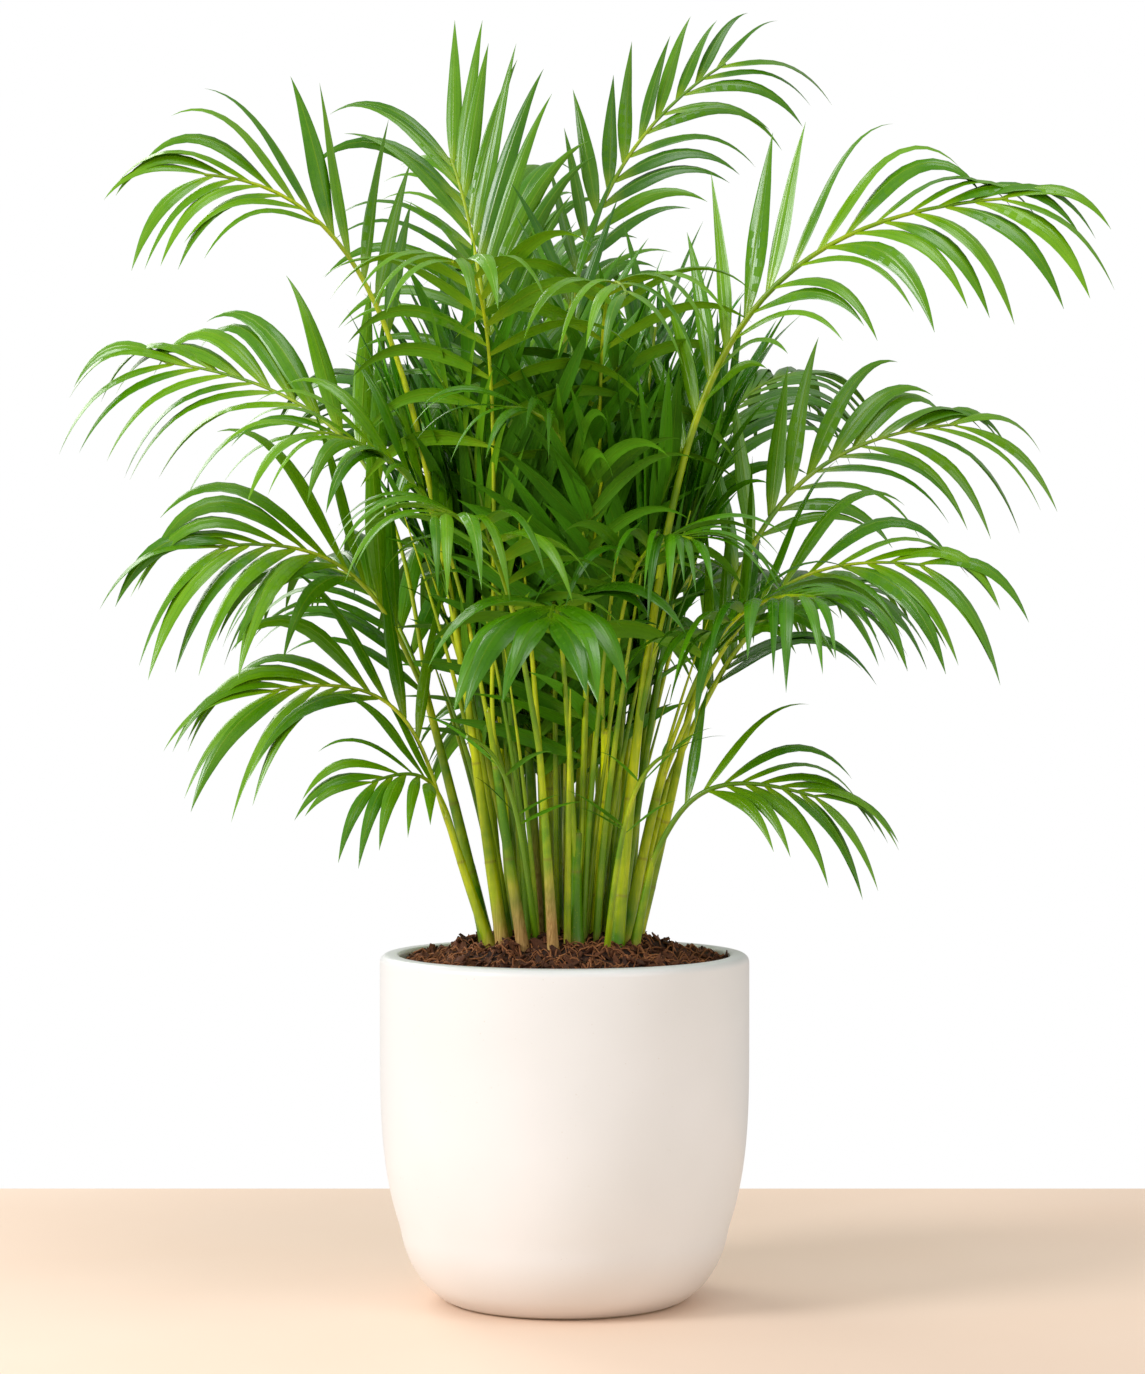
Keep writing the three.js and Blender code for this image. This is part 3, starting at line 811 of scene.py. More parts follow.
def fibre_lines():
    draw = seeded(77)
    lines = Lines("rod_radius", "tone")
    for _ in range(FIBRE_COUNT):
        radius = (MIX_RADIUS - 6) * math.sqrt(draw())
        turn = 2 * math.pi * draw()
        across = radius * math.cos(turn)
        deep = radius * math.sin(turn)
        heading = 2 * math.pi * draw()
        bend = (draw() - 0.5) * 0.5
        stride = between(*FIBRE_STRIDES, draw())
        arch = between(*FIBRE_ARCHES, draw())
        points = []
        for step in range(FIBRE_STEPS + 1):
            if math.hypot(across, deep) > MIX_RADIUS - 2:
                break
            rise = arch * math.sin(math.pi * step / FIBRE_STEPS)
            points.append(Vector((across, deep, mound_height(across, deep) + 0.4 + rise)))
            across += stride * math.cos(heading)
            deep += stride * math.sin(heading)
            heading += bend
        if len(points) > 2:
            thick = between(*FIBRE_RADII, draw())
            tone = [draw()] * len(points)
            lines.add_line(points, rod_radius=[thick * MM] * len(points), tone=tone)
    return lines


fibres = fibre_lines().piece("coir_strands")
grow(fibres, rods, {"Sides": 4, "Finish": coir})
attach(fibres, "root")
print("fibres:", triangles(fibres), "triangles")

# %% [markdown]
# ## The canes
#
# Bamboo palms grow many thin canes from one root. Each leans out a little and narrows upwards, as
# the sheaths of its leaves come free one after the other. A faint ring shows where an old leaf sat,
# and at the very foot the oldest sheath has dried to tan paper. A cane is one line whose radius
# swells at the foot; its colours come from how far up a point is.

# %% Canes: foot, top and radius at the foot
CANES = {
    "left_low": ((-54, -26), (-88, -30, 366), 5.0),
    "left_mid": ((-58, -2), (-104, 0, 455), 5.6),
    "left_top": ((-45, -40), (-72, -42, 452), 5.6),
    "left_inner": ((-30, -50), (-56, -56, 446), 5.0),
    "crown_left": ((-20, -14), (-31, 4, 470), 5.4),
    "crown_right": ((-13, 16), (-9, 25, 480), 5.4),
    "front": ((9, -48), (10, -50, 355), 6.8),
    "front_right": ((22, -28), (31, -42, 430), 4.8),
    "front_left": ((-8, -64), (-18, -84, 416), 4.6),
    "right_top": ((38, -48), (57, -50, 452), 6.4),
    "right_mid": ((44, -24), (74, -30, 400), 5.2),
    "right_low": ((51, -42), (66, -47, 336), 4.6),
    "right_high": ((53, 2), (96, 2, 450), 5.2),
    "back_left": ((-32, 40), (-52, 72, 440), 5.6),
    "back": ((2, 50), (2, 88, 460), 5.8),
    "back_top": ((-20, 66), (-28, 104, 462), 5.2),
    "back_right": ((30, 34), (52, 68, 440), 5.6),
    "back_outer_left": ((-58, 32), (-88, 56, 380), 5.0),
    "back_outer_right": ((51, 30), (80, 52, 390), 5.0),
    "back_low": ((14, 68), (24, 108, 370), 5.2),
}
CANE_FLARE = 1.18
CANE_TAPER = 0.56
FLARE_HEIGHT = 16
CANE_SUNK = 12
ROUND_SHARE = 0.9
CANE_BOW = 3.0
CANE_STEP = 8
RING_GAPS = (44, 74)
RING_BELOW_TOP = 14
RING_SWELL = 0.035
RING_HALF = 1.6
SCAR_HALF = 1.1
OLDER_BELOW = 0.03
COLLAR = 0.5
# The top closes in a small dome, drawn at these heights over the end of the cane
DOME_HEIGHT = 4.2
DOME_STEPS = (0.0, COLLAR, 2.5, 4.0)
# Height of the dry tan sheath at the foot, in millimetres
DRY_SHEATHS = {
    "left_top": 16,
    "left_inner": 26,
    "crown_left": 48,
    "crown_right": 40,
    "front_left": 32,
    "back_left": 30,
    "back": 36,
    "back_outer_right": 22,
}
DRY_LEAST = 3
# The oldest cane is still wrapped in a green sheath; one is old and nought is young
CANE_AGE = {"front": 1.0, "right_top": 0.35}


def cane_radius(cane, height):
    """The radius of a round cane with the section of the six-sided solid, without the rings."""
    top, radius = CANES[cane][1:]
    whole = top[2] - MIX_TOP
    flared = between(CANE_FLARE, 1.0, min(max(height, 0) / FLARE_HEIGHT, 1))
    tapered = between(1.0, CANE_TAPER, min(max(height / whole, 0), 1))
    return radius * flared * tapered * ROUND_SHARE


def cane_rings(cane, number):
    draw = seeded(300 + number)
    whole = CANES[cane][1][2] - MIX_TOP
    first = between(*RING_GAPS, draw())
    second = first + between(*RING_GAPS, draw())
    return [height for height in (first, second) if height < whole - RING_BELOW_TOP]


def fading(height, middle, half):
    """One at the middle, and softly down to nought beyond the half width."""
    return math.exp(-(((height - middle) / half) ** 2))


def cane_line(lines, cane, number):
    foot, top = CANES[cane][:2]
    bottom = Vector((*foot, MIX_TOP))
    crown = Vector(top)
    whole = crown.z - bottom.z
    rings = cane_rings(cane, number)
    draw = seeded(500 + number)
    bow = Vector((draw() - 0.5, draw() - 0.5, 0)) * CANE_BOW
    heights = {-CANE_SUNK, 0.0, *(whole + step for step in DOME_STEPS)}
    heights.update(float(height) for height in range(4, int(whole), CANE_STEP))
    for ring_height in rings:
        heights.update(ring_height + RING_HALF * step for step in (-2, -1, -0.4, 0, 0.4, 1, 2))
    points = []
    radii = []
    stations = sorted(heights)
    for height in stations:
        share = height / whole
        swell = sum(RING_SWELL * fading(height, ring, RING_HALF) for ring in rings)
        older = OLDER_BELOW * sum(1 for ring in rings if height < ring)
        close = 1.0 if height <= whole else 1.0 - ((height - whole) / DOME_HEIGHT) ** 2
        points.append(bottom.lerp(crown, share) + bow * math.sin(math.pi * min(max(share, 0), 1)))
        radii.append(cane_radius(cane, height) * (1 + swell + older) * close * MM)
    scars = [*rings, whole + COLLAR]
    marks = [max(fading(height, scar, SCAR_HALF) for scar in scars) for height in stations]
    count = len(stations)
    lines.add_line(
        points,
        rod_radius=radii,
        up_stem=[height * MM for height in stations],
        ring_mark=marks,
        dry_height=[DRY_SHEATHS.get(cane, DRY_LEAST) * MM] * count,
        tone=[CANE_AGE.get(cane, draw())] * count,
    )


STEM_VALUES = ("rod_radius", "up_stem", "ring_mark", "dry_height", "tone")
cane_lines = Lines(*STEM_VALUES)
for number, cane in enumerate(CANES):
    cane_line(cane_lines, cane, number)
canes = cane_lines.piece("canes")

# %% [markdown]
# Young cane is a warm yellow green, and turns a deeper green where it is older or wrapped. The skin
# has a long fine grain, faint pale spots, a soft scar at each ring, and the dry tan foot. How high
# the tan reaches is a value of its own on every cane, and it fades into the green in soft clouds.

# %% Stem finish
STEM_YELLOW = paint(226, 234, 6)
STEM_GREEN = paint(84, 140, 2)
STEM_SCAR = paint(130, 104, 44)
DRY_BROWN = paint(156, 98, 50)
DRY_TAN = paint(230, 182, 118)


def stem_material(name, young, old):
    """Green skin that is greener and deeper lower down, with a dry foot and a scar at each ring."""
    material, tree, shader = start_material(name)
    long_streaks = effect(tree, grain, {"Scale": 420.0, "Length": 0.05})
    fine_streaks = effect(tree, grain, {"Scale": 1500.0, "Length": 0.03})
    patches = effect(tree, clouds, {"Scale": 26.0})
    pale_spots = effect(tree, spots, {"Scale": 420.0, "Size": 0.22})
    up_stem = read(tree, "up_stem")
    # Greener and deeper towards the foot of each stem
    lower_down = spread(tree, up_stem, 0.0, 0.26, 0.3, -0.25)
    worn = work_out(tree, "ADD", patches, lower_down)
    age = work_out(tree, "MULTIPLY_ADD", read(tree, "tone"), 0.9, worn)
    colour = tint(tree, spread(tree, age, 0.45, 1.55, 0.0, 1.0), young, old)
    streaks = spread(tree, long_streaks, 0.35, 1.0, 0.0, 0.38)
    colour = tint(tree, streaks, colour, old)
    light_spots = work_out(tree, "MULTIPLY", pale_spots, 0.2)
    colour = tint(tree, light_spots, colour, young)
    dry_height = read(tree, "dry_height")
    ragged = work_out(tree, "MULTIPLY_ADD", patches, 0.016, up_stem)
    dry_end = work_out(tree, "MULTIPLY_ADD", dry_height, 2.0, 0.016)
    foot = spread(tree, ragged, dry_height, dry_end, 0.85, 0.0)
    paper = tint(tree, fine_streaks, DRY_BROWN, DRY_TAN)
    colour = tint(tree, foot, colour, paper)
    scar = work_out(tree, "MULTIPLY", read(tree, "ring_mark"), 0.45)
    colour = tint(tree, scar, colour, STEM_SCAR)
    coarse = work_out(tree, "MULTIPLY", long_streaks, 0.6)
    height = work_out(tree, "MULTIPLY_ADD", fine_streaks, 0.4, coarse)
    gloss = spread(tree, patches, 0.0, 1.0, 0.26, 0.38)
    fill(
        tree,
        shader,
        {
            "Base Color": colour,
            "Roughness": work_out(tree, "MULTIPLY_ADD", foot, 0.35, gloss),
            "Normal": raised(tree, height, 0.22, 0.0004),
            "Specular IOR Level": 0.45,
        },
    )
    return material


cane_skin = stem_material("cane_skin", STEM_YELLOW, STEM_GREEN)
grow(canes, rods, {"Sides": 14, "Finish": cane_skin})
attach(canes, "root")
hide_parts(*["cane_" + cane for cane in CANES])
print("canes:", len(CANES), "with", triangles(canes), "triangles")

# %% [markdown]
# ## How a frond grows
#
# A frond is a stalk that leaves its cane upwards, turns over at a knee and reaches out to a tip.
# Its leaflets follow a rule: they start some way up, stand in pairs, are longest in the middle,
# lean further forward the nearer they are to the tip, and hang over more the longer they are. The
# imported solids follow the same rule with the same seeds, so most of the fine leaflets lie where the
# plain ones do. The fronds that come towards the eye are opened wider here, to show their blades as
# the real plant does, and the young fronds have shorter or slimmer leaflets.

# %% Fronds on canes
# leafy and bare are shares of the stalk and of its leafy part, leaflet is the longest one, upper is
# the share of the upper row, and roll and skew are in degrees
# tone names the leaf finish, whose colour holds painted shade: deep for shaded fronds
COLUMNS = ("cane", "knee", "tip", "leafy", "bare", "pairs", "leaflet", "roll", "upper", "skew", "tone")
CANE_FRONDS = [
    ("left_low", (-122, -45, 480), (-216, -62, 462), 0.74, 0.3, 9, 160, 60, 0.86, 0, "mid"),
    ("left_low", (-102, -64, 410), (-140, -98, 396), 0.85, 0.2, 6, 112, 45, 0.86, 0, "mid"),
    ("left_mid", (-156, -50, 580), (-252, -98, 568), 0.82, 0.25, 10, 174, 60, 0.86, 0, "mid"),
    ("left_mid", (-138, 50, 690), (-314, 104, 718), 0.68, 0.3, 11, 170, 62, 0.86, 0, "mid"),
    ("left_top", (-132, -75, 834), (-260, -120, 836), 0.44, 0.45, 11, 150, 62, 0.86, 0, "mid"),
    ("left_inner", (-95, -78, 640), (-178, -130, 650), 0.62, 0.2, 9, 135, 35, 0.86, 0, "mid"),
    ("crown_left", (-62, 35, 800), (-88, 66, 872), 0.6, 0, 13, 170, 82, 0.92, 26, "fresh"),
    ("crown_right", (-10, 95, 866), (128, 152, 960), 0.6, 0.2, 13, 140, 64, 0.7, 0, "fresh"),
    ("right_top", (105, -85, 808), (318, -144, 816), 0.66, 0.06, 14, 162, 60, 0.86, 0, "mid"),
    ("right_high", (165, 60, 656), (310, 118, 670), 0.72, 0.1, 11, 152, 62, 0.86, 0, "mid"),
    ("right_mid", (145, -65, 570), (262, -108, 554), 0.78, 0.1, 10, 154, 58, 0.86, 0, "mid"),
    ("right_low", (102, -62, 410), (186, -86, 384), 0.74, 0.2, 8, 128, 55, 0.86, 0, "mid"),
    ("front", (-4, -95, 552), (-10, -190, 515), 0.42, 0, 7, 125, 0, 1, 0, "deep"),
    ("front", (24, -84, 675), (-42, -122, 668), 0.5, 0, 9, 118, 25, 1, 0, "deep"),
    ("front_right", (46, -80, 585), (92, -150, 572), 0.55, 0, 8, 118, 10, 1, 0, "deep"),
    ("front_right", (22, -74, 800), (44, -205, 742), 0.55, 0, 9, 125, 0, 1, 0, "mid"),
    ("left_inner", (-48, -100, 780), (-78, -205, 764), 0.55, 0, 9, 128, 0, 1, 0, "mid"),
    ("front_left", (-48, -140, 600), (-92, -232, 586), 0.6, 0, 9, 125, 10, 1, 0, "mid"),
    ("right_mid", (118, -104, 540), (176, -200, 530), 0.66, 0, 9, 125, 20, 1, 0, "deep"),
    ("back_left", (-95, 150, 690), (-165, 240, 720), 0.62, 0, 10, 145, 10, 1, 0, "deep"),
    ("back_left", (-62, 190, 600), (-112, 300, 566), 0.64, 0, 9, 140, 0, 1, 0, "deep"),
    ("back", (-5, 165, 790), (-28, 265, 806), 0.6, 0, 11, 150, 0, 1, 0, "deep"),
    ("back", (24, 200, 640), (62, 315, 612), 0.62, 0, 10, 145, 0, 1, 0, "deep"),
    ("back_top", (-40, 148, 812), (-66, 226, 868), 0.6, 0, 11, 145, 0, 1, 0, "mid"),
    ("back_right", (110, 150, 700), (190, 245, 720), 0.62, 0, 10, 145, 10, 1, 0, "deep"),
    ("back_right", (96, 180, 580), (156, 290, 556), 0.66, 0, 9, 135, 0, 1, 0, "deep"),
    ("back_outer_left", (-135, 128, 560), (-215, 190, 560), 0.72, 0, 9, 145, 20, 1, 0, "deep"),
    ("back_outer_right", (150, 118, 540), (235, 172, 545), 0.72, 0, 9, 140, 20, 1, 0, "deep"),
    ("back_low", (22, 230, 540), (36, 330, 490), 0.7, 0, 9, 140, 0, 1, 0, "deep"),
    ("back_low", (-34, 196, 470), (-70, 285, 430), 0.76, 0, 8, 130, 0, 1, 0, "deep"),
]

# %% Young fronds that rise from the mix
YOUNG_COLUMNS = ("name", "foot", "radius", "knee", "tip", "leafy", "pairs", "leaflet", "roll", "tone")
YOUNG_FRONDS = [
    ("left", (-40, -14), 3.3, (-84, -24, 560), (-118, -22, 640), 0.55, 7, 120, 20, "deep"),
    ("left_front", (-26, -32), 3.2, (-52, -40, 620), (-90, -75, 690), 0.55, 7, 120, 20, "mid"),
    ("front_left", (-20, -42), 3.0, (-38, -84, 420), (-70, -140, 430), 0.55, 6, 112, 10, "heart"),
    ("front_right", (31, -61), 3.0, (46, -100, 410), (80, -150, 420), 0.55, 6, 112, 10, "heart"),
    ("right", (40, -8), 3.3, (88, 0, 600), (130, 20, 690), 0.55, 7, 120, 20, "deep"),
    ("heart", (4, -22), 3.3, (6, -26, 640), (6, -4, 770), 0.6, 8, 125, 20, "deep"),
    ("heart_right", (34, 12), 3.2, (54, 24, 620), (70, 40, 740), 0.58, 7, 125, 20, "deep"),
    ("heart_left", (-36, 12), 3.2, (-76, 34, 620), (-100, 60, 720), 0.58, 7, 125, 20, "deep"),
]
print("packed fronds:", len(CANE_FRONDS), "on canes and", len(YOUNG_FRONDS), "young ones")

# %% Where two stalks share a cane
FORK_SHARE = 0.66
FORK_SPREAD = 0.8


def mates(row):
    """The fronds that leave from the same cane."""
    return [other for other in CANE_FRONDS if other[0] == row[0]]


def fork_shift(row):
    pair = mates(row)
    if len(pair) < 2:
        return Vector((0, 0, 0))
    apart = Vector(pair[0][1]) - Vector(pair[1][1])
    apart.z = 0
    sense = 1 if row is pair[0] else -1
    return apart.normalized() * (CANES[row[0]][2] * CANE_TAPER * FORK_SPREAD * sense)


# %% Values of each frond
JOINT_GAP = 0.3
PLAIN_FROND = {"cane": None, "shift": Vector((0, 0, 0)), "bare": 0, "upper": 1, "skew": 0, "droop": 1}
# How broad the leaflets of a frond are, against the ratio that they all share. The open outer fronds
# have broad ones, and most fronds in front of the shaded heart are slender.
BROAD = 1.12
BREADTHS = {
    "frond_crown_left": 0.95,
    "frond_crown_right": 1.2,
    "frond_front": 1.75,
    "frond_front_2": 0.75,
    "frond_front_right": 0.7,
    "frond_front_right_2": 0.8,
    "frond_left_inner_2": 0.9,
    "frond_front_left": 0.8,
    "frond_right_mid_2": 0.8,
}
# Leaflets of young fronds are slender and hang less; in front of the stems they are shorter too
YOUNG_BROAD = 0.8
YOUNG_DROOP = 0.6
FRONT_YOUNG_BROAD = 0.5
FRONT_YOUNG_SHORT = 0.6


def cane_frond(row):
    frond = {**PLAIN_FROND, **dict(zip(COLUMNS, row))}
    cane = frond["cane"]
    pair = mates(row)
    forked = len(pair) > 1
    frond["name"] = "frond_" + cane + ("_2" if forked and row is pair[1] else "")
    frond["shift"] = fork_shift(row)
    frond["start"] = Vector(CANES[cane][1]) + frond["shift"] + UP * JOINT_GAP
    frond["radius"] = CANES[cane][2] * CANE_TAPER * (FORK_SHARE if forked else 1)
    frond["broad"] = BREADTHS.get(frond["name"], BROAD)
    return frond


def young_frond(row):
    frond = {**PLAIN_FROND, **dict(zip(YOUNG_COLUMNS, row))}
    in_front = frond["tone"] == "heart"
    frond["name"] = "frond_young_" + frond["name"]
    frond["start"] = Vector((*frond["foot"], MIX_TOP + JOINT_GAP))
    frond["leaflet"] *= FRONT_YOUNG_SHORT if in_front else 1
    frond["broad"] = FRONT_YOUNG_BROAD if in_front else YOUNG_BROAD
    frond["droop"] = YOUNG_DROOP
    return frond


packed_fronds = [*map(cane_frond, CANE_FRONDS), *map(young_frond, YOUNG_FRONDS)]
print("frond names:", packed_fronds[0]["name"], "to", packed_fronds[-1]["name"])

# %% [markdown]
# The heart of the clump is packed with upright young sprays, more than a file of plain solids can
# hold. They all stand inside the reach of the fronds above, so they are grown by a rule alone: their
# feet lie on a spiral round the middle, and each leans outwards a little more than the one before.

# %% Inner sprays
SPRAY_COUNT = 26
SPIRAL_TURN = 2.4
# They stand a little behind the middle, so that the front stalks show clear against them
SPRAY_BACK = Vector((0, 24, 0))
# How far out the innermost and the outermost spray have their foot, knee and tip
SPRAY_FEET = (8, 54)
SPRAY_KNEES = (14, 76)
SPRAY_TIPS = (28, 128)
# Least and most: height of the knee, rise of the tip over it, leafy share, leaflet and roll
SPRAY_HEIGHTS = (470, 630)
SPRAY_RISES = (50, 110)
SPRAY_LEAFY = (0.52, 0.7)
SPRAY_LEAFLETS = (132, 160)
SPRAY_ROLLS = (0, 25)


def inner_spray(number):
    draw = seeded(2900 + number)
    turn = SPIRAL_TURN * number
    share = math.sqrt((number + 0.5) / SPRAY_COUNT)
    way = Vector((math.cos(turn), math.sin(turn), 0))
    knee = SPRAY_BACK + way * between(*SPRAY_KNEES, share) + UP * between(*SPRAY_HEIGHTS, draw())
    tip_height = knee.z + between(*SPRAY_RISES, draw())
    return {
        **PLAIN_FROND,
        "name": "inner_spray_" + str(number),
        "start": SPRAY_BACK + way * between(*SPRAY_FEET, share) + UP * (MIX_TOP + JOINT_GAP),
        "radius": 2.6,
        "knee": knee,
        "tip": SPRAY_BACK + way * between(*SPRAY_TIPS, share) + UP * tip_height,
        "leafy": between(*SPRAY_LEAFY, draw()),
        "pairs": 9,
        "leaflet": between(*SPRAY_LEAFLETS, draw()),
        "roll": between(*SPRAY_ROLLS, draw()),
        "skew": -16,
        "broad": 0.95,
        "droop": 0.28,
        "tone": "heart",
    }


fronds = [*packed_fronds, *map(inner_spray, range(SPRAY_COUNT))]
print("inner sprays:", SPRAY_COUNT)

# %% The arch of a stalk
# How far along the straight way to the knee the curve is pulled, and how a stalk thins to its tip
KNEE_PULL = 0.6
RIB_TAPER = 1.3
RIB_TIP_RADIUS = 1.2


class Arch:
    """A stalk's curve, read by the share of its length."""

    STEPS = 200

    def __init__(self, frond):
        knee = Vector(frond["knee"])
        start = frond["start"]
        self.corners = (start, start.lerp(knee, KNEE_PULL), knee, Vector(frond["tip"]))
        self.turns = np.linspace(0, 1, self.STEPS + 1)
        dots = [self.point(turn) for turn in self.turns]
        steps = [(after - before).length for before, after in zip(dots, dots[1:])]
        self.run = np.concatenate([[0], np.cumsum(steps)])

    def point(self, turn):
        a, b, c, d = self.corners
        rest = 1 - turn
        return a * rest**3 + b * (3 * rest * rest * turn) + c * (3 * rest * turn * turn) + d * turn**3

    def at(self, share):
        turn = float(np.interp(share * self.run[-1], self.run, self.turns))
        a, b, c, d = self.corners
        rest = 1 - turn
        along = (b - a) * (rest * rest) + (c - b) * (2 * rest * turn) + (d - c) * (turn * turn)
        along.normalize()
        upper = UP - along * along.z
        return self.point(turn), along, upper.normalized()


def rib_radius(frond, share):
    return between(frond["radius"], RIB_TIP_RADIUS, share**RIB_TAPER) * ROUND_SHARE


for frond in fronds:
    frond["arch"] = Arch(frond)
longest = max(frond["arch"].run[-1] for frond in fronds)
print("fronds:", len(fronds), "longest stalk in mm:", round(longest))

# %% [markdown]
# ## Stalks
#
# The stalk slips out of the sheath at the top of its cane, so its line starts a little way down
# inside the cane and is smoothed where it comes free. It thins towards the tip, where the last
# leaflets hide its end. The same tree that made the canes gives it its body.

# %% Stalk lines
STALK_STEPS = 34
SMOOTHED = 5
# How much greener a stalk is at its tip than where it leaves the cane
STALK_DEEPENS = 0.85
# Stalks that stand out in the photograph: nought is bright and young, one is deep green
STALK_AGE = {
    "frond_left_top": 0.0,
    "frond_crown_left": 0.1,
    "frond_crown_right": 0.5,
    "frond_right_top": 0.55,
}
# How far down the cane a stalk's first points lie, in millimetres, and the share of its fork there
HIDDEN_POINTS = ((34, 0.2), (22, 0.45), (10, 0.8))


def hidden_start(frond):
    if not frond["cane"]:
        return [frond["start"] - UP * CANE_SUNK]
    foot, top = CANES[frond["cane"]][:2]
    crown = Vector(top)
    down = (Vector((*foot, MIX_TOP)) - crown).normalized()
    return [crown + down * depth + frond["shift"] * share for depth, share in HIDDEN_POINTS]


def stalk_line(lines, frond, number):
    """Adds a stalk; its first points, inside the cane, are smoothed into the arch."""
    points = hidden_start(frond)
    shares = [0] * len(points)
    for step in range(STALK_STEPS + 1):
        points.append(frond["arch"].at(step / STALK_STEPS)[0])
        shares.append(step / STALK_STEPS)
    for _ in range(2):
        joint = {i: (points[i - 1] + points[i] * 2 + points[i + 1]) / 4 for i in range(1, SMOOTHED + 1)}
        for i, point in joint.items():
            points[i] = point
    radii = [rib_radius(frond, share) * MM for share in shares]
    if frond["cane"]:
        radii[0] *= 0.6
    age = STALK_AGE.get(frond["name"], seeded(700 + number)())
    count = len(points)
    lines.add_line(
        points,
        rod_radius=radii,
        up_stem=[(point.z - MIX_TOP) * MM for point in points],
        ring_mark=[0.0] * count,
        dry_height=[0.0 if frond["cane"] else DRY_LEAST * MM] * count,
        tone=[age + STALK_DEEPENS * share for share in shares],
    )


stalk_lines = Lines(*STEM_VALUES)
for number, frond in enumerate(fronds):
    stalk_line(stalk_lines, frond, number)

# %% [markdown]
# New leaves come up folded, as thin green spears between the canes. They have no leaflets yet, so
# each is only a line that narrows to a point. Their feet lie on a spiral on the mound, and they
# lean outwards more the further out they stand.

# %% Spears
SPEAR_COUNT = 30
SPEAR_STEPS = 14
# Of the innermost and the outermost spear: distance of the foot, and lean as a share of the height
SPEAR_FEET = (8, 52)
SPEAR_LEANS = (0.1, 0.26)
# Least and most: height and radius in millimetres, and tone
SPEAR_HEIGHTS = (200, 370)
SPEAR_RADII = (2.0, 3.5)
SPEAR_TONES = (0.4, 1.2)
SPEAR_DRY = 0.014


def spear_line(lines, number):
    draw = seeded(2600 + number)
    turn = SPIRAL_TURN * number + 0.5 * draw()
    radius = between(*SPEAR_FEET, math.sqrt((number + 0.5) / SPEAR_COUNT))
    way = Vector((math.cos(turn), math.sin(turn), 0))
    foot = way * radius + UP * (MIX_TOP - CANE_SUNK)
    height = between(*SPEAR_HEIGHTS, draw())
    lean = between(*SPEAR_LEANS, radius / 60) + 0.05 * draw()
    thick = between(*SPEAR_RADII, draw())
    shares = [step / SPEAR_STEPS for step in range(SPEAR_STEPS + 1)]
    points = [foot + UP * (height * share) + way * (height * lean * share**1.5) for share in shares]
    lines.add_line(
        points,
        rod_radius=[max(thick * (1 - 0.85 * share**2), 0.3) * MM for share in shares],
        up_stem=[height * share * MM for share in shares],
        ring_mark=[0.0] * len(shares),
        dry_height=[SPEAR_DRY] * len(shares),
        tone=[between(*SPEAR_TONES, draw())] * len(shares),
    )


for number in range(SPEAR_COUNT):
    spear_line(stalk_lines, number)
stalks = stalk_lines.piece("stalks")
stalk_skin = stem_material("stalk_skin", paint(206, 220, 16), paint(100, 146, 8))
grow(stalks, rods, {"Sides": 8, "Finish": stalk_skin})
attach(stalks, "root")
print("stalks and spears:", len(fronds) + SPEAR_COUNT, "with", triangles(stalks), "triangles")

# %% [markdown]
# ## Leaflets
#
# A leaflet is a long thin blade, narrow where it joins the stalk, widest a third of the way along
# and drawn out to a fine tip, with a ridge along its middle so that it is roofed like a tent. The
# rule first lays down a line for the ridge of each one, with its width and the way its face looks
# at every point. Geometry Nodes then sweep a thin ring, folded over the ridge, along all of those
# lines at once.

# %% Tree that sweeps a blade along each ridge line
blades, arrive, leave = new_tree(
    "blades_along_ridges",
    "GeometryNodeTree",
    [
        ("Ridges", "Geometry", None),
        ("Points Around", "Int", 6),
        ("Thickness", "Float", 0.014),
        ("Fold", "Float", 0.42),
        ("Finish", "Material", None),
    ],
    [("Blades", "Geometry")],
)
paths = add(blades, "GeometryNodeMeshToCurve", {"Mesh": arrive.outputs["Ridges"]})
faced = add(
    blades,
    "GeometryNodeSetCurveNormal",
    {"Curve": paths.outputs[0], "Normal": named(blades, "blade_side", "FLOAT_VECTOR")},
    mode="FREE",
)
# Six points turned by half a step: two on the ridge, and two at each edge, one unit from the middle
half_step = math.pi / 6
ring = add(
    blades,
    "GeometryNodeCurvePrimitiveCircle",
    {"Resolution": arrive.outputs["Points Around"], "Radius": 1 / math.cos(half_step)},
)
rolled = add(
    blades,
    "GeometryNodeTransform",
    {"Geometry": ring.outputs["Curve"], "Rotation": (0, 0, half_step)},
)
where = add(blades, "GeometryNodeInputPosition")
parts = add(blades, "ShaderNodeSeparateXYZ", {0: where.outputs[0]})
noted = store(blades, rolled.outputs[0], "across", parts.outputs["X"])
lower = work_out(blades, "LESS_THAN", parts.outputs["Y"], -0.01)
marked = store(blades, noted, "under", lower)
aside = work_out(blades, "ABSOLUTE", parts.outputs["X"])
sunk = work_out(blades, "MULTIPLY", aside, arrive.outputs["Fold"])
flat = work_out(blades, "MULTIPLY", parts.outputs["Y"], arrive.outputs["Thickness"])
folded = work_out(blades, "SUBTRACT", flat, sunk)
moved = add(blades, "ShaderNodeCombineXYZ", {"X": parts.outputs["X"], "Y": folded})
profile = add(
    blades,
    "GeometryNodeSetPosition",
    {"Geometry": marked, "Position": moved.outputs[0]},
)
width = named(blades, "half_width")
sweep(blades, leave, faced.outputs[0], profile.outputs[0], width, arrive.outputs["Finish"])

# %% The rule for leaflets
FIRST_LEAF = 0.5
LEAF_STAGGER = 0.16
TIP_CUT = 0.3
LEAF_CROWDING = 0.9
LAST_PLACE = 0.99
LEAF_ANGLE_LOW = 38
LEAF_ANGLE_TIP = 20
LEAF_LIFT = 18
LEAF_SHORTEST = 0.62
LEAF_SHARE_START = 0.2
LEAF_SHARE_RUN = 0.72
UNDER_ROLL = 30
UNDER_SHORT = 0.6
LEAF_BEND = 0.044
STIFF_ROOT = 0.15
STIFF_UPRIGHT = 0.45
PLACE_SPREAD = 0.1
LENGTH_SPREAD = 0.16
ANGLE_SPREAD = 10
LIFT_SPREAD = 16
BEND_SPREAD = 0.4
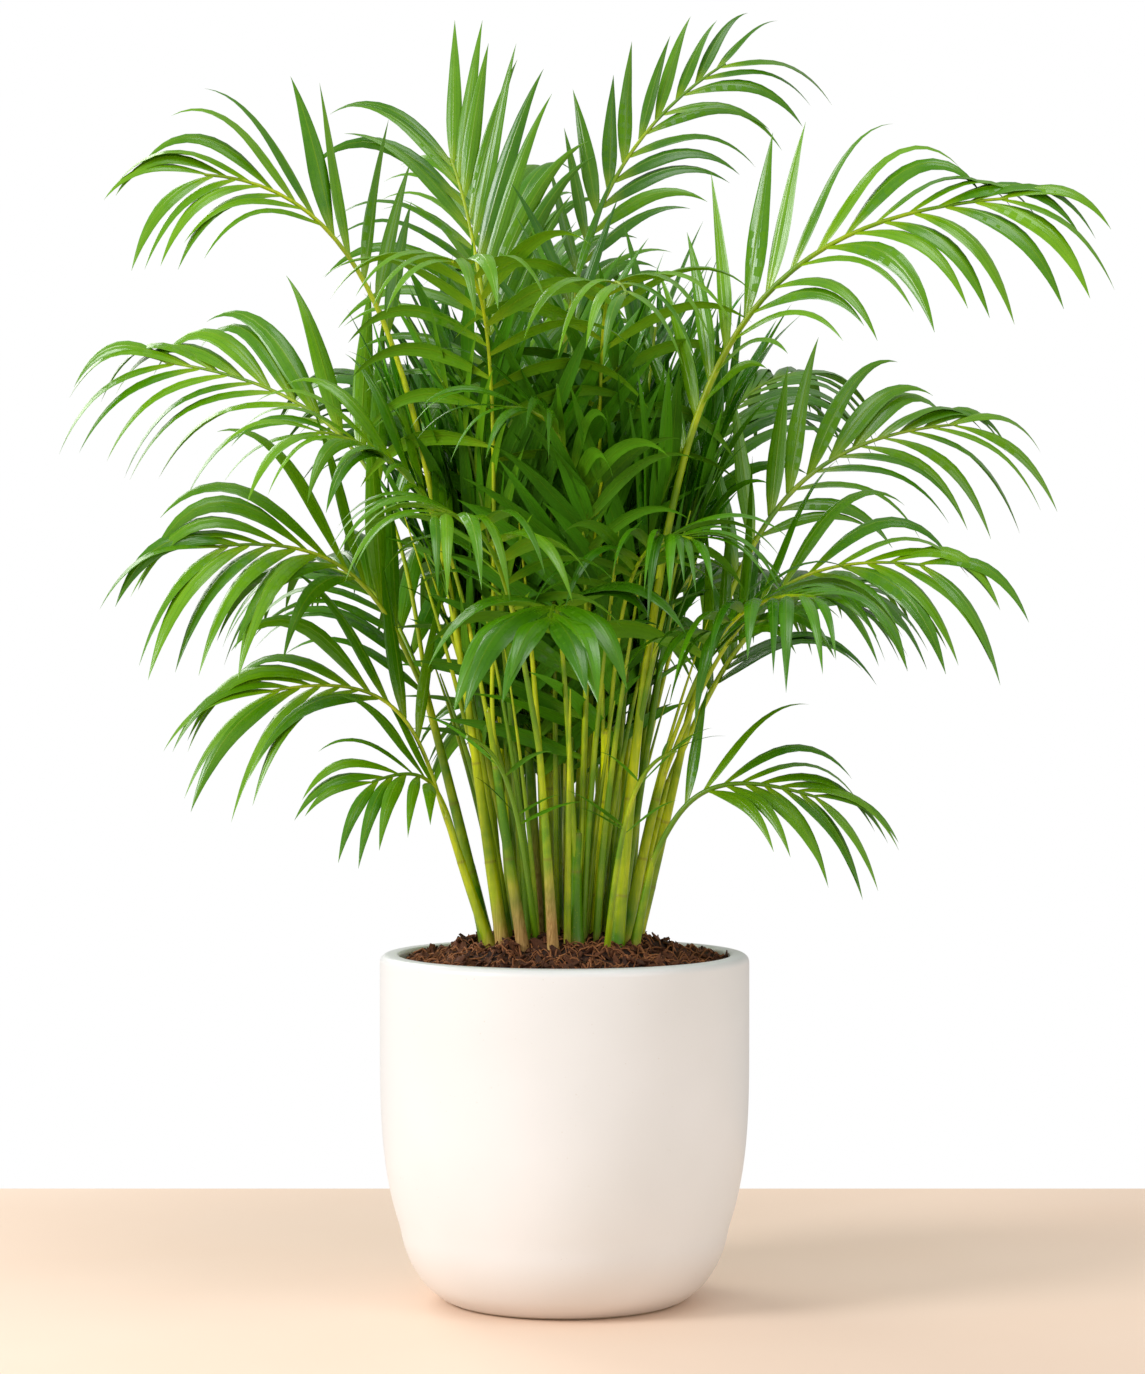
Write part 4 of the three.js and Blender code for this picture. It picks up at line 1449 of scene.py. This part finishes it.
# Leaflets of a frond that comes towards the eye stand wider apart, by up to this many degrees and
# less so towards its tip, and are broader by up to this share
FRONT_FAN = 38
FRONT_CLOSES = 0.85
FRONT_BROAD = 0.2
# The lowest fronds in front carry few leaflets, so they show every other pair only
SPARSE = ("frond_front", "frond_young_front_left", "frond_young_front_right")


def leaf_frame(frond, share):
    """The place a leaflet leaves from, with the upper side rolled towards the viewer."""
    at, along, upper = frond["arch"].at(share)
    shown = (VIEWER - along * VIEWER.dot(along)).normalized()
    turn = min(math.radians(frond["roll"]), upper.angle(shown))
    sense = 1 if upper.cross(shown).dot(along) > 0 else -1
    return at, along, Quaternion(along, turn * sense) @ upper


def is_under(frond, hand):
    return frond["roll"] > UNDER_ROLL and hand == (-1 if frond["tip"][0] < 0 else 1)


def hand_share(frond, hand, t):
    if frond["roll"] <= UNDER_ROLL:
        return 1
    return between(UNDER_SHORT, 1, t) if is_under(frond, hand) else frond["upper"]


def facing(frond):
    """How much a frond comes towards the eye, from nought to one."""
    flat = Vector(frond["tip"]) - frond["start"]
    flat.z = 0
    return max(0, -flat.normalized().y) ** 3


def leaflet_at(frond, hand, t, jitter):
    """One leaflet, t of the way from the lowest pair to the tip."""
    swell = math.sin(math.pi * (LEAF_SHARE_START + LEAF_SHARE_RUN * t))
    share = between(LEAF_SHORTEST, 1, swell) * hand_share(frond, hand, t)
    length = frond["leaflet"] * share * (1 + LENGTH_SPREAD * jitter[1])
    wider = frond["skew"] * (1 - t) if hand < 0 else 0
    angle = between(LEAF_ANGLE_LOW, LEAF_ANGLE_TIP, t) + wider + ANGLE_SPREAD * jitter[2]
    angle += FRONT_FAN * facing(frond) * (1 - FRONT_CLOSES * t)
    return {
        "place": min(1 - frond["leafy"] * (1 - t**LEAF_CROWDING), LAST_PLACE),
        "hand": hand,
        "length": length,
        "angle": math.radians(angle),
        "lift": math.radians(LEAF_LIFT + LIFT_SPREAD * jitter[3]),
        "bend": LEAF_BEND * length * (1 + BEND_SPREAD * jitter[2]),
    }


def leaflets_of(frond, number):
    draw = seeded(101 + 37 * number)
    found = []
    for pair in range(frond["pairs"]):
        for hand in (-1, 1):
            jitter = [draw() - 0.5 for _ in range(4)]
            turn = pair + FIRST_LEAF + LEAF_STAGGER * hand + PLACE_SPREAD * jitter[0]
            t = min(1, turn / (frond["pairs"] - TIP_CUT))
            hidden = is_under(frond, hand) and t < frond["bare"]
            if hidden or (frond["name"] in SPARSE and pair % 2):
                continue
            found.append(leaflet_at(frond, hand, t, jitter))
    return found


# %% [markdown]
# The plain solids hold only as many leaflets as their size allows. The real fronds inside the clump
# are denser, so those get some more in between, from random numbers of their own. They follow the
# same rule and end a little short of their neighbours, which keeps the outline where it is. The
# arching outer fronds stay open, as on the real plant.

# %% Leaflets in between
BETWEEN_SHARE = {"heart": 0.2, "deep": 0.35, "mid": 0.0, "fresh": 0.0}
BETWEEN_LENGTH = 0.9
BETWEEN_LOOSE = 2.2
# Above one, they gather towards the lower end of the frond
BETWEEN_LOW = 1.15


def leaflets_between(frond, number):
    draw = seeded(8100 + number)
    found = []
    for _ in range(round(frond["pairs"] * BETWEEN_SHARE[frond["tone"]])):
        for hand in (-1, 1):
            t = draw() ** BETWEEN_LOW
            jitter = [(draw() - 0.5) * BETWEEN_LOOSE for _ in range(4)]
            if is_under(frond, hand) and t < frond["bare"]:
                continue
            leaflet = leaflet_at(frond, hand, t, jitter)
            leaflet["length"] *= BETWEEN_LENGTH
            found.append(leaflet)
    return found


# %% Ridge lines
RIDGE_STEPS = 48
STATIONS = (0, 0.03, 0.08, 0.15, 0.23, 0.32, 0.41, 0.5, 0.59, 0.67, 0.75, 0.82, 0.88, 0.94, 0.98, 1)
# Breadth of a blade against its length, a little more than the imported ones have
BLADE_RATIO = 0.1
BREADTH_SPREAD = (0.84, 1.16)
WIDEST = 0.36
ROOT_WIDTH = 0.2
TIP_WIDTH = 0.012
# A blade turns by up to half of this in radians, and has done so at this share of its length
TWIST = 1.2
TWISTED_BY = 0.6
# How far a blade turns its face to the sky, away from the side that its frond is rolled to
FACE_UP = 0.5


def blade_share(along):
    """How wide a blade is at a share of its length, against its widest place."""
    rise = math.sin(min(along / WIDEST, 1) * math.pi / 2) ** 0.9
    fall = 1 - max(0, (along - WIDEST) / (1 - WIDEST)) ** 1.5
    return max(between(ROOT_WIDTH, 1, rise) * fall, TIP_WIDTH)


def ridge(frond, leaflet):
    """Points along a leaflet, and the way its side looks at each."""
    at, along, upper = leaf_frame(frond, leaflet["place"])
    side = along.cross(upper) * leaflet["hand"]
    out = side * math.cos(leaflet["lift"]) + upper * math.sin(leaflet["lift"])
    way = along * math.cos(leaflet["angle"]) + out * math.sin(leaflet["angle"])
    across = way.cross(upper.lerp(UP, FACE_UP)).normalized()
    bend = leaflet["bend"] * frond["droop"] * (1 - STIFF_UPRIGHT * max(0, along.z))
    points = []
    sides = []
    for step in range(RIDGE_STEPS + 1):
        across = (across - way * across.dot(way)).normalized()
        points.append(at.copy())
        sides.append(across.copy())
        at = at + way * (leaflet["length"] / RIDGE_STEPS)
        level = math.sqrt(max(0, 1 - way.z * way.z))
        way.z -= bend * level * between(STIFF_ROOT, 1, step / RIDGE_STEPS) / RIDGE_STEPS
        way.normalize()
    return points, sides


def add_blade(lines, frond, leaflet, draw):
    points, sides = ridge(frond, leaflet)
    picked = [round(station * RIDGE_STEPS) for station in STATIONS]
    broad = frond["broad"] * (1 + FRONT_BROAD * facing(frond)) * between(*BREADTH_SPREAD, draw())
    half_width = leaflet["length"] * BLADE_RATIO / 2 * broad * MM
    twist = (draw() - 0.5) * TWIST
    tone = draw()
    turned_sides = []
    for station, spot in zip(STATIONS, picked):
        before = points[max(spot - 1, 0)]
        after = points[min(spot + 1, RIDGE_STEPS)]
        axis = (after - before).normalized()
        turn = twist * eased(0.0, TWISTED_BY, station)
        turned_sides.append(tuple(-(Quaternion(axis, turn) @ sides[spot])))
    lines.add_line(
        [points[spot] for spot in picked],
        half_width=[half_width * blade_share(station) for station in STATIONS],
        blade_side=turned_sides,
        along=list(STATIONS),
        tone=[tone] * len(STATIONS),
    )


ridges = {tone: Lines("half_width", "blade_side", "along", "tone") for tone in BETWEEN_SHARE}
blade_count = 0
for number, frond in enumerate(fronds):
    draw = seeded(4000 + number)
    for leaflet in [*leaflets_of(frond, number), *leaflets_between(frond, number)]:
        add_blade(ridges[frond["tone"]], frond, leaflet, draw)
        blade_count += 1
print("leaflets:", blade_count)

# %% [markdown]
# Leaflets differ in age, and the shade that falls on them is painted into their colour too: those
# in the heart of the clump are a dark full green as painted shade, the shaded fronds a deep green,
# and the open ones a clearer green. Each frond gets one of four finishes, made by the same helper
# from other base colours: lit and shaded copies of one leaf. Within a finish every leaflet has its
# own tone, a pale keel and fine veins, a yellower root, and a duller, paler underside.

# %% Leaf finishes
UNDERSIDE = paint(112, 160, 44)


def leaf_material(name, shade, light, root):
    material, tree, shader = start_material(name)
    across = read(tree, "across")
    along = read(tree, "along")
    places = {"Across": across, "Along": along, "Veins": 2.5, "Keel": 0.1}
    lines = add(tree, "ShaderNodeGroup", places, node_tree=relief)
    patches = effect(tree, clouds, {"Scale": 46.0})
    flecks = effect(tree, clouds, {"Scale": 420.0})
    mixed = work_out(tree, "MULTIPLY_ADD", patches, 0.3, read(tree, "tone"))
    colour = tint(tree, spread(tree, mixed, 0.0, 1.3, 0.0, 1.0), shade, light)
    colour = tint(tree, spread(tree, along, 0.0, 0.2, 0.7, 0.0), colour, root)
    colour = tint(tree, work_out(tree, "MULTIPLY", lines.outputs["Keel Mask"], 0.4), colour, root)
    colour = tint(tree, work_out(tree, "MULTIPLY", lines.outputs["Vein Mask"], 0.25), colour, shade)
    colour = tint(tree, spread(tree, flecks, 0, 1, 0, 0.14), colour, light)
    under = read(tree, "under")
    pale = tint(tree, 0.2, colour, UNDERSIDE)
    colour = tint(tree, under, colour, pale)
    gloss = spread(tree, patches, 0.0, 1.0, 0.2, 0.32)
    fill(
        tree,
        shader,
        {
            "Base Color": colour,
            "Roughness": work_out(tree, "MULTIPLY_ADD", under, 0.2, gloss),
            "Normal": raised(tree, lines.outputs["Height"], 0.3, 0.0006),
            "Specular IOR Level": spread(tree, under, 0.0, 1.0, 0.5, 0.12),
        },
    )
    return material


# Lit and shaded copies of one leaf: heart and deep are painted darker as shade in the clump
LEAF_FINISHES_LIT_AND_SHADED = {
    "heart": leaf_material("heart_leaf", paint(26, 86, 1), paint(78, 160, 2), paint(120, 170, 10)),
    "deep": leaf_material("deep_leaf", paint(34, 92, 1), paint(86, 150, 4), paint(128, 168, 12)),
    "mid": leaf_material("mid_leaf", paint(50, 116, 2), paint(116, 172, 4), paint(164, 194, 22)),
    "fresh": leaf_material("fresh_leaf", paint(40, 100, 1), paint(98, 154, 2), paint(160, 190, 20)),
}
print("leaf finishes:", list(LEAF_FINISHES_LIT_AND_SHADED))

# %% Sweep the blades
# The edge of a blade stays crisp, while its two halves meet softly over the ridge
SHARP = math.radians(55)
for tone, lines in ridges.items():
    leaflets = lines.piece("leaflets_" + tone)
    grow(leaflets, blades, {"Finish": LEAF_FINISHES_LIT_AND_SHADED[tone]})
    leaflets.data.set_sharp_from_angle(angle=SHARP)
    names = [frond["name"] for frond in packed_fronds if frond["tone"] == tone]
    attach(leaflets, "root")
    if names:
        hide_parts(*names)
    print(leaflets.name, triangles(leaflets), "triangles for", len(names), "fronds")

# %% [markdown]
# ## Floor and light
#
# The palm stands on a plain pale surface that ends behind it, with a bright empty room beyond.
# The light is soft and comes from the upper left and front, as from a large window, while the
# bright room fills the shadows. The camera sees the room as pure white; only its share of light on
# the plant is turned down, so that the leaves keep their depth.

# %% Floor
FLOOR_HALF = 4.0
FLOOR_FRONT = -3.2
FLOOR_BACK = 0.54
# Just under the pot, so that the two faces don't flicker through each other
FLOOR_HEIGHT = -0.0003

corners = [
    (-FLOOR_HALF, FLOOR_FRONT, FLOOR_HEIGHT),
    (FLOOR_HALF, FLOOR_FRONT, FLOOR_HEIGHT),
    (FLOOR_HALF, FLOOR_BACK, FLOOR_HEIGHT),
    (-FLOOR_HALF, FLOOR_BACK, FLOOR_HEIGHT),
]
ground = make_piece("floor", corners, [(0, 1, 2, 3)])
matt, tree, shader = start_material("pale_floor")
drift = effect(tree, clouds, {"Scale": 2.0})
fill(
    tree,
    shader,
    {
        "Base Color": tint(tree, drift, paint(253, 229, 209), paint(249, 222, 200)),
        "Roughness": spread(tree, drift, 0, 1, 0.6, 0.7),
    },
)
ground.data.materials.append(matt)
print("floor ends in metres behind the pot:", FLOOR_BACK)

# %% Light
ROOM_LIGHT = 0.49

room = bpy.data.worlds.new("bright_room")
bpy.context.scene.world = room
room.use_nodes = True
tree = room.node_tree
tree.nodes.clear()
seen = add(tree, "ShaderNodeBackground", {"Color": (1, 1, 1, 1), "Strength": 1.0})
given = add(tree, "ShaderNodeBackground", {"Color": paint(255, 254, 250), "Strength": ROOM_LIGHT})
direct = add(tree, "ShaderNodeLightPath").outputs["Is Camera Ray"]
both = add(tree, "ShaderNodeMixShader", {0: direct, 1: given.outputs[0], 2: seen.outputs[0]})
add(tree, "ShaderNodeOutputWorld", {"Surface": both.outputs[0]})


def soft_light(name, place, aim, size, power, colour):
    data = bpy.data.lights.new(name, "AREA")
    data.shape = "DISK"
    data.size = size
    data.energy = power
    data.color = colour
    lamp = link(bpy.data.objects.new(name, data))
    lamp.location = place
    lamp.rotation_euler = (Vector(aim) - Vector(place)).to_track_quat("-Z", "Y").to_euler()
    print("light:", name, power, "watts")


soft_light("window", (-2.4, -1.4, 1.7), (0, 0, 0.45), 1.2, 53, (1.0, 1.0, 1.0))
soft_light("above", (0.3, -0.7, 2.7), (0, 0, 0.5), 1.2, 14, (1.0, 1.0, 1.0))
soft_light("fill", (2.0, -1.8, 1.2), (0, 0, 0.45), 1.6, 12, (1.0, 0.99, 0.97))
soft_light("rear", (-1.3, 1.8, 1.8), (0, 0, 0.6), 1.4, 20, (1.0, 1.0, 0.94))
bpy.context.scene.view_settings.view_transform = "Standard"
